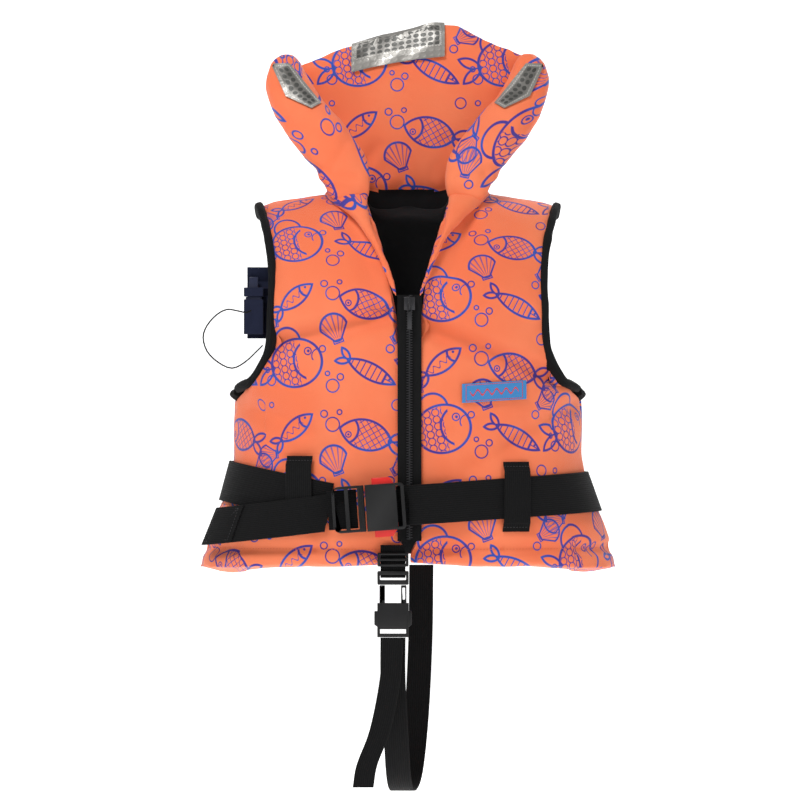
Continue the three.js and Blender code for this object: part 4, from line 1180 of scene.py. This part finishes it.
# ---- Zip ----
# A chunky moulded zip. Each woven tape is sewn under a front half's edge and carries one row of teeth.

ZIP_X = 0.0015
ZIP_TOP, ZIP_BOTTOM = -0.095, -0.341
TOOTH_PITCH = 0.0026
zip_look = Look("zip_moulded", (0.035, 0.035, 0.038), 0.35, Metallic=0.6)
grain = zip_look.noise(zip_look.place(), 700)
zip_look.set("Roughness", grain * 0.2 + 0.26)
zip_look.bump(grain, 0.0001)
for side, name in SIDES:
    spots = [Vector((ZIP_X + side * 0.0062, -FRONT_DEPTH - 0.0016, ZIP_TOP + (ZIP_BOTTOM - ZIP_TOP) * k / 40))
             for k in range(41)]
    tape = band("zip_woven_tape_" + name, [(p, Vector((0.0058, 0, 0)), FORWARD) for p in spots],
                0.0014, binding_look)
    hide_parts("zip_tape_" + name)
    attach(tape, "front_" + name)
    bpy.ops.object.select_all(action="DESELECT")
    bpy.ops.mesh.primitive_cube_add(size=1, location=(0, 0, 0))
    tooth = bpy.context.active_object
    tooth.scale = (0.0038, 0.0030, 0.0012)
    bpy.ops.object.transform_apply(location=False, rotation=False, scale=True)
    finish_with(tooth, "BEVEL", width=0.0003, segments=1)
    base = places(tooth)
    loops = [list(face.vertices) for face in tooth.data.polygons]
    teeth_v, teeth_f = [], []
    for k in range(int((ZIP_TOP - ZIP_BOTTOM) / TOOTH_PITCH)):
        z = ZIP_TOP - (k + (0.25 if side > 0 else 0.75)) * TOOTH_PITCH
        first = len(teeth_v)
        teeth_v += [Vector(p) + Vector((ZIP_X + side * 0.0011, -FRONT_DEPTH - 0.0028, z)) for p in base]
        teeth_f += [[first + n for n in loop] for loop in loops]
    bpy.data.objects.remove(tooth)
    teeth = new_piece("zip_teeth_" + name, teeth_v, teeth_f)
    teeth.data.materials.append(zip_look.material)
    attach(teeth, "front_" + name)


def hard_from(name, node, look, corner=None, width=0.0006):
    """A moulded piece: the solid's own shape with rounded corners and softened edges.

    corner is a test of an edge's two ends, and the radius that the edges it picks are rounded to.
    """
    piece = copy_of(node)
    piece.name = name
    piece.data.name = name
    bpy.ops.object.mode_set(mode="EDIT")
    bpy.ops.mesh.select_all(action="SELECT")
    bpy.ops.mesh.dissolve_limited(angle_limit=math.radians(1))
    bpy.ops.object.mode_set(mode="OBJECT")
    if corner:
        wanted, size = corner
        bpy.ops.object.mode_set(mode="EDIT")
        bpy.ops.mesh.select_mode(type="EDGE")
        bpy.ops.mesh.select_all(action="DESELECT")
        bpy.ops.object.mode_set(mode="OBJECT")
        for edge in piece.data.edges:
            a, b = (piece.data.vertices[n].co for n in edge.vertices)
            edge.select = wanted(a, b)
        bpy.ops.object.mode_set(mode="EDIT")
        bpy.ops.mesh.bevel(offset=size, segments=6, clamp_overlap=True)
        bpy.ops.object.mode_set(mode="OBJECT")
    finish_with(piece, "BEVEL", width=width, segments=2, limit_method="ANGLE", angle_limit=math.radians(35))
    only(piece)
    bpy.ops.object.shade_smooth_by_angle(angle=math.radians(40))
    piece.data.materials.append(look)
    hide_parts(node)
    return piece


slider = hard_from("zip_slider_body", "zip_slider", zip_look.material, width=0.0005)
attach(slider, "zip_slider")
pull = hard_from("zip_pull_tab", "zip_pull", zip_look.material, width=0.0004)
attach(pull, "zip_pull")

# ---- Belt buckle ----
# A side release buckle of black acetal with red buttons: the housing is sewn to the right end of the
# belt, and the frame, with its two spring arms, takes the left end.

BELT_BUCKLE_AT = Vector((-0.0427, -0.129, -0.308))
BELT_SLOPE = 0.07


def moulded(name, dark, light, roughness):
    look = Look(name, dark, roughness, Specular_IOR_Level=0.3)
    fine = look.noise(look.place(), 1600)
    cloud = look.noise(look.place(), 60, 4)
    look.set("Base Color", look.mix(cloud * 0.7 + fine * 0.3, dark, light))
    look.set("Roughness", cloud * 0.18 + fine * 0.1 + (roughness - 0.12))
    look.bump(fine, 0.00012)
    return look.material


black_plastic = moulded("black_acetal", (0.005, 0.005, 0.0055), (0.011, 0.011, 0.0115), 0.42)
red_plastic = moulded("red_acetal", (0.55, 0.014, 0.012), (0.78, 0.03, 0.025), 0.35)


def along_belt(place):
    """The distance of a place along the buckle from its middle, and its height above the buckle's line."""
    d = place - BELT_BUCKLE_AT
    c, s = math.cos(BELT_SLOPE), math.sin(BELT_SLOPE)
    return d.x * c + d.z * s, d.z * c - d.x * s


def frame_corner(a, b):
    return abs(a.y - b.y) > 0.004 and along_belt(a)[0] < -0.031 and abs(along_belt(a)[1]) > 0.022


def housing_corner(a, b):
    return abs(a.y - b.y) > 0.008 and along_belt(a)[0] > 0.038 and abs(along_belt(a)[1]) > 0.022


buckle_frame = hard_from("belt_buckle_yoke", "belt_buckle_frame", black_plastic,
                         (frame_corner, 0.008), 0.0011)
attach(buckle_frame, "belt_frame")
housing = hard_from("belt_buckle_case", "belt_buckle_housing", black_plastic,
                    (housing_corner, 0.004), 0.0009)
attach(housing, "front_right")
for end in ("upper", "lower"):
    prong = hard_from("belt_button_" + end, "belt_prong_" + end, red_plastic, width=0.0008)
    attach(prong, "belt_prong_" + end)


def buckle_place(x, z, y):
    c, s = math.cos(BELT_SLOPE), math.sin(BELT_SLOPE)
    return BELT_BUCKLE_AT + Vector((x * c - z * s, y, z * c + x * s))


def buckle_band(name, half, stations):
    """Webbing at the buckle. Each station is its distance along the buckle and behind its middle."""
    across = buckle_place(0, half, 0) - buckle_place(0, 0, 0)
    sections = [(buckle_place(x, 0, y), across, FORWARD) for x, y in stations]
    return band(name, sections, BELT_THICKNESS, webbing_look)


through = buckle_band("belt_through_yoke", 0.0195, [
    (-0.0375, 0.0062), (-0.034, 0.0060), (-0.030, 0.0052), (-0.026, 0.0046), (-0.018, 0.0046),
    (-0.012, 0.0048), (-0.008, 0.0056)])
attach(through, "belt_frame")
sewn_end = buckle_band("belt_sewn_end", BELT_HALF, [
    (0.0305, 0.0030), (0.0335, 0.0060), (0.0370, 0.0078), (0.0405, 0.0074), (0.0450, 0.0050)])
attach(sewn_end, "front_right")
for number, x in enumerate((-0.0058, -0.0038, -0.0018)):
    bpy.ops.object.select_all(action="DESELECT")
    bpy.ops.mesh.primitive_cube_add(size=1, location=buckle_place(x, 0, -0.0036), rotation=(0, -BELT_SLOPE, 0))
    rib = bpy.context.active_object
    rib.name = f"yoke_rib_{number}"
    rib.scale = (0.0009, 0.0012, 0.043)
    bpy.ops.object.transform_apply()
    finish_with(rib, "BEVEL", width=0.0003, segments=2)
    rib.data.materials.append(black_plastic)
    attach(rib, "belt_frame")

# ---- Crotch buckle and tri-glide ----
# A small side release buckle and an adjuster of the same black acetal.

for name, node, body in (("crotch_buckle_case", "crotch_buckle_housing", "crotch_housing"),
                         ("crotch_buckle_yoke", "crotch_buckle_frame", "front_left"),
                         ("crotch_arm_right", "crotch_prong_right", "crotch_prong_right"),
                         ("crotch_arm_left", "crotch_prong_left", "crotch_prong_left"),
                         ("crotch_adjuster", "crotch_tri_glide", "tri_glide")):
    piece = hard_from(name, node, black_plastic, width=0.0010)
    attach(piece, body)

# ---- Whistle ----
# A moulded pea-less whistle in a small dark pouch sewn behind the left armhole, held by an elastic band.

pouch_look = plain_woven("navy_pouch", (0.006, 0.008, 0.020), (0.014, 0.018, 0.045))
whistle_plastic = moulded("whistle_plastic", (0.010, 0.012, 0.030), (0.02, 0.025, 0.055), 0.35)
pouch = hard_from("whistle_holder", "whistle_pouch", pouch_look, width=0.0004)
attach(pouch, "front_left")
elastic = hard_from("whistle_elastic", "whistle_band", pouch_look, width=0.0004)
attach(elastic, "front_left")
whistle = hard_from("whistle_body", "whistle", whistle_plastic, width=0.0012)
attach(whistle, "whistle")

backing = band("whistle_backing", [(Vector((-0.1485, -0.0625 - 0.002 * math.sin(9 * k), -0.066 - 0.0072 * k)),
                                    Vector((0.0135, 0.003, 0)), FORWARD) for k in range(11)],
               0.0016, pouch_look)
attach(backing, "front_left")

# ---- Reflective patches ----
# Retro-reflective tape with printed dots, stitched on round its edge: one over the head pad's top edge,
# and one on each wing.


def sewn_patch(name, at, columns, rows, look, thick=0.0006):
    """A thin patch: at(s, t) gives a place and its direction out. Its pattern runs in metres from its middle."""
    vertices, flats = [], []
    spots = [[at(i / columns, j / rows) for i in range(columns + 1)] for j in range(rows + 1)]
    widths = sum((spots[rows // 2][i + 1][0] - spots[rows // 2][i][0]).length for i in range(columns))
    heights = sum((spots[j + 1][columns // 2][0] - spots[j][columns // 2][0]).length for j in range(rows))
    for lift in (thick, 0.0):
        for j in range(rows + 1):
            for i in range(columns + 1):
                place, out = spots[j][i]
                vertices.append(place + out * lift)
                flats.append(((i / columns - 0.5) * widths, (j / rows - 0.5) * heights))
    faces, wide = [], columns + 1
    back = wide * (rows + 1)
    for j in range(rows):
        for i in range(columns):
            k = j * wide + i
            faces += [(k, k + 1, k + wide + 1, k + wide),
                      (back + k, back + k + wide, back + k + wide + 1, back + k + 1)]
    rim = [i for i in range(columns)] + [j * wide + columns for j in range(rows)]
    rim += [rows * wide + i for i in range(columns, 0, -1)] + [j * wide for j in range(rows, 0, -1)]
    for a, b in zip(rim, rim[1:] + rim[:1]):
        faces.append((a, back + a, back + b, b))
    piece = new_piece(name, vertices, faces)
    lay_flats(piece, flats)
    piece.data.materials.append(look)
    return piece, widths, heights


def reflective_tape(name, width, height):
    look = Look(name, (0.14, 0.135, 0.125), 0.3, Metallic=0.35)
    u, v, _ = look.axes(look.flat())
    u, v = u * 1000, v * 1000
    pitch, dot = 7.6, 2.75
    x, y = u % pitch - pitch / 2, v % pitch - pitch / 2
    dots = 1 - ((x * x + y * y).root() - dot).step(-0.3, 0.4)
    border = (abs(u) - (width * 500 - 4.5)).most(abs(v) - (height * 500 - 4.5))
    rim = border.step(-0.2, 0.2)
    dash = ((u + v) % 3.2 - 1.6).math("ABSOLUTE").below(1.1)
    stitch = (1 - (abs(border - 1.8) - 0.45).step(-0.15, 0.15)) * dash
    cloud = look.noise(look.place(), 60, 3)
    color = look.mix(cloud.step(0.35, 0.65), (0.13, 0.125, 0.115), (0.21, 0.20, 0.185))
    color = look.mix(dots * (1 - rim), color, (0.055, 0.055, 0.05))
    color = look.mix(rim, color, (0.27, 0.26, 0.24))
    color = look.mix(stitch, color, (0.62, 0.60, 0.56))
    look.set("Base Color", color)
    look.set("Roughness", cloud * 0.25 + dots * 0.1 + 0.2)
    look.bump(cloud * 1.4 + stitch * 0.5 - dots * 0.15, 0.0006)
    return look.material


def tree_of(piece):
    return BVHTree.FromObject(piece, bpy.context.evaluated_depsgraph_get())


def press_onto(tree, place, out, reach, off):
    """The place moved in from reach along out until it meets the surface, and set off it."""
    hit, _, _, _ = tree.ray_cast(place + out * reach, -out, 2 * reach)
    if hit is None:
        hit, _, _, _ = tree.find_nearest(place)
    return hit + out * off, out


collar_tree = tree_of(collar)
TOP_LINE = [(-0.059, 0.183), (-0.040, 0.188), (-0.015, 0.193), (0.010, 0.197), (0.040, 0.200)]


def middle_patch_at(s, t):
    x = -0.058 + 0.096 * s
    top = float(np.interp(x, [p[0] for p in TOP_LINE], [p[1] for p in TOP_LINE])) + 0.002
    down = 0.060 * (1 - t) - 0.008
    if down > 0:
        front = Vector((x, 0.05, top - down * 0.93))
        place, _ = press_onto(collar_tree, front, FORWARD, 0.08, 0.0022)
        return place, FORWARD
    over = Vector((x, 0.056 - down * 1.5, top - 0.01))
    place, _ = press_onto(collar_tree, over, Vector((0, 0, 1)), 0.06, 0.0022)
    return place, Vector((0, -0.3, 1)).normalized()


tape_look = reflective_tape("reflective_tape", 0.096, 0.050)
middle_patch, _, _ = sewn_patch("reflective_tape_middle", middle_patch_at, 30, 16, tape_look)
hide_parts("reflective_patch_middle")
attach(middle_patch, "collar")
wing_tape = reflective_tape("reflective_tape_wing", 0.070, 0.026)
for side, name in SIDES:
    wing_tree = tree_of(bpy.data.objects["collar_roll_" + name])

    def wing_patch_at(s, t):
        edge = Vector((0.121, 0, 0.145)).lerp(Vector((0.088, 0, 0.103)), s)
        wide = Vector((float(np.interp(s, (0, 0.5, 1), (0.0195, 0.0200, 0.010))), 0,
                       float(np.interp(s, (0, 0.5, 1), (0.000, -0.014, -0.006)))))
        place = edge + wide * (1 - t)
        place.x *= side
        found, _ = press_onto(wing_tree, Vector((place.x, 0.02, place.z)), FORWARD, 0.08, 0.0018)
        return found, FORWARD

    patch, _, _ = sewn_patch("reflective_tape_" + name, wing_patch_at, 20, 8, wing_tape)
    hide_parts("reflective_patch_" + name)
    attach(patch, "collar")

# ---- Label patch ----
# A blank blue woven patch with a red stitched wave, sewn to the right front above the belt.

front_right_tree = tree_of(bpy.data.objects["front_panel_right"])


def label_at(s, t):
    x = 0.054 + 0.065 * s
    z = -0.203 + 0.019 * t + 0.004 * s
    place, _ = press_onto(front_right_tree, Vector((x, -0.10, z)), FORWARD, 0.06, 0.0012)
    return place, FORWARD


label_look = Look("label_woven", (0.02, 0.19, 0.50), 0.7, Sheen_Weight=0.2)
u, v, _ = label_look.axes(label_look.flat())
u, v = u * 1000, v * 1000
weave = (u * 7).sine() * (v * 7).sine() * 0.5 + 0.5
wave = 1 - (abs(v - (u * 0.62).sine() * 2.6) - 0.9).step(-0.2, 0.3)
inside = (abs(u) - 26).most(abs(v) - 5.4).below(0)
edge = abs((abs(u) - 30.2).most(abs(v) - 8.0)) - 0.45
stitched = (1 - edge.step(-0.15, 0.15)) * ((u + v) % 2.4 - 1.2).math("ABSOLUTE").below(0.85)
red = (wave * inside).most(stitched)
blue = label_look.mix(weave, (0.015, 0.16, 0.42), (0.035, 0.24, 0.56))
label_look.set("Base Color", label_look.mix(red, blue, (0.55, 0.03, 0.05)))
label_look.set("Roughness", weave * 0.1 + 0.62)
label_look.bump(weave * 0.3 + red * 0.8, 0.0004)
label, _, _ = sewn_patch("label", label_at, 26, 8, label_look.material, 0.0010)
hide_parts("label_patch")
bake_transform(label)

# ---- Stitching ----
# Thread along the hem channels, beside the zip, and round the belt's folded end.


THREAD_PITCH = 0.0034


def seam_on(name, tree, points, look):
    path, outs = [], []
    for place in smooth_path([(x, -0.13, z) for x, z in points], 6):
        hit, normal, _, _ = tree.ray_cast(Vector((place.x, -0.3, place.z)), Vector((0, 1, 0)))
        if hit is not None and hit.y < -0.005:
            path.append(hit + normal * 0.0001)
            outs.append(normal)
    seam = stitches(name, path, outs, look, THREAD_PITCH)
    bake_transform(seam)


for side, name in SIDES:
    tree = tree_of(bpy.data.objects["front_panel_" + name])
    hem_run = [(side * x, -0.3495) for x in (0.012, 0.06, 0.10, 0.14, 0.17, 0.195)]
    zip_run = [(ZIP_X + side * 0.0135, z) for z in (-0.100, -0.16, -0.22, -0.28, -0.341)]
    seam_on(f"hem_thread_{name}", tree, hem_run, orange_thread)
    seam_on(f"zip_thread_{name}", tree, zip_run, orange_thread)

box_row, box_outs = [], []
for x, dz in ((0.182, -0.016), (0.182, 0.016), (0.163, 0.016), (0.163, -0.016), (0.182, -0.016), (0.163, 0.016)):
    place, out = on_front(-1, x, tail_z(x) + dz, TAIL_OFF + 0.0036, BELT_HALF_WIDTH)
    box_row.append(place)
    box_outs.append(out)
tail_thread = stitches("belt_end_thread", box_row, box_outs, dark_thread)
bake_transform(tail_thread)
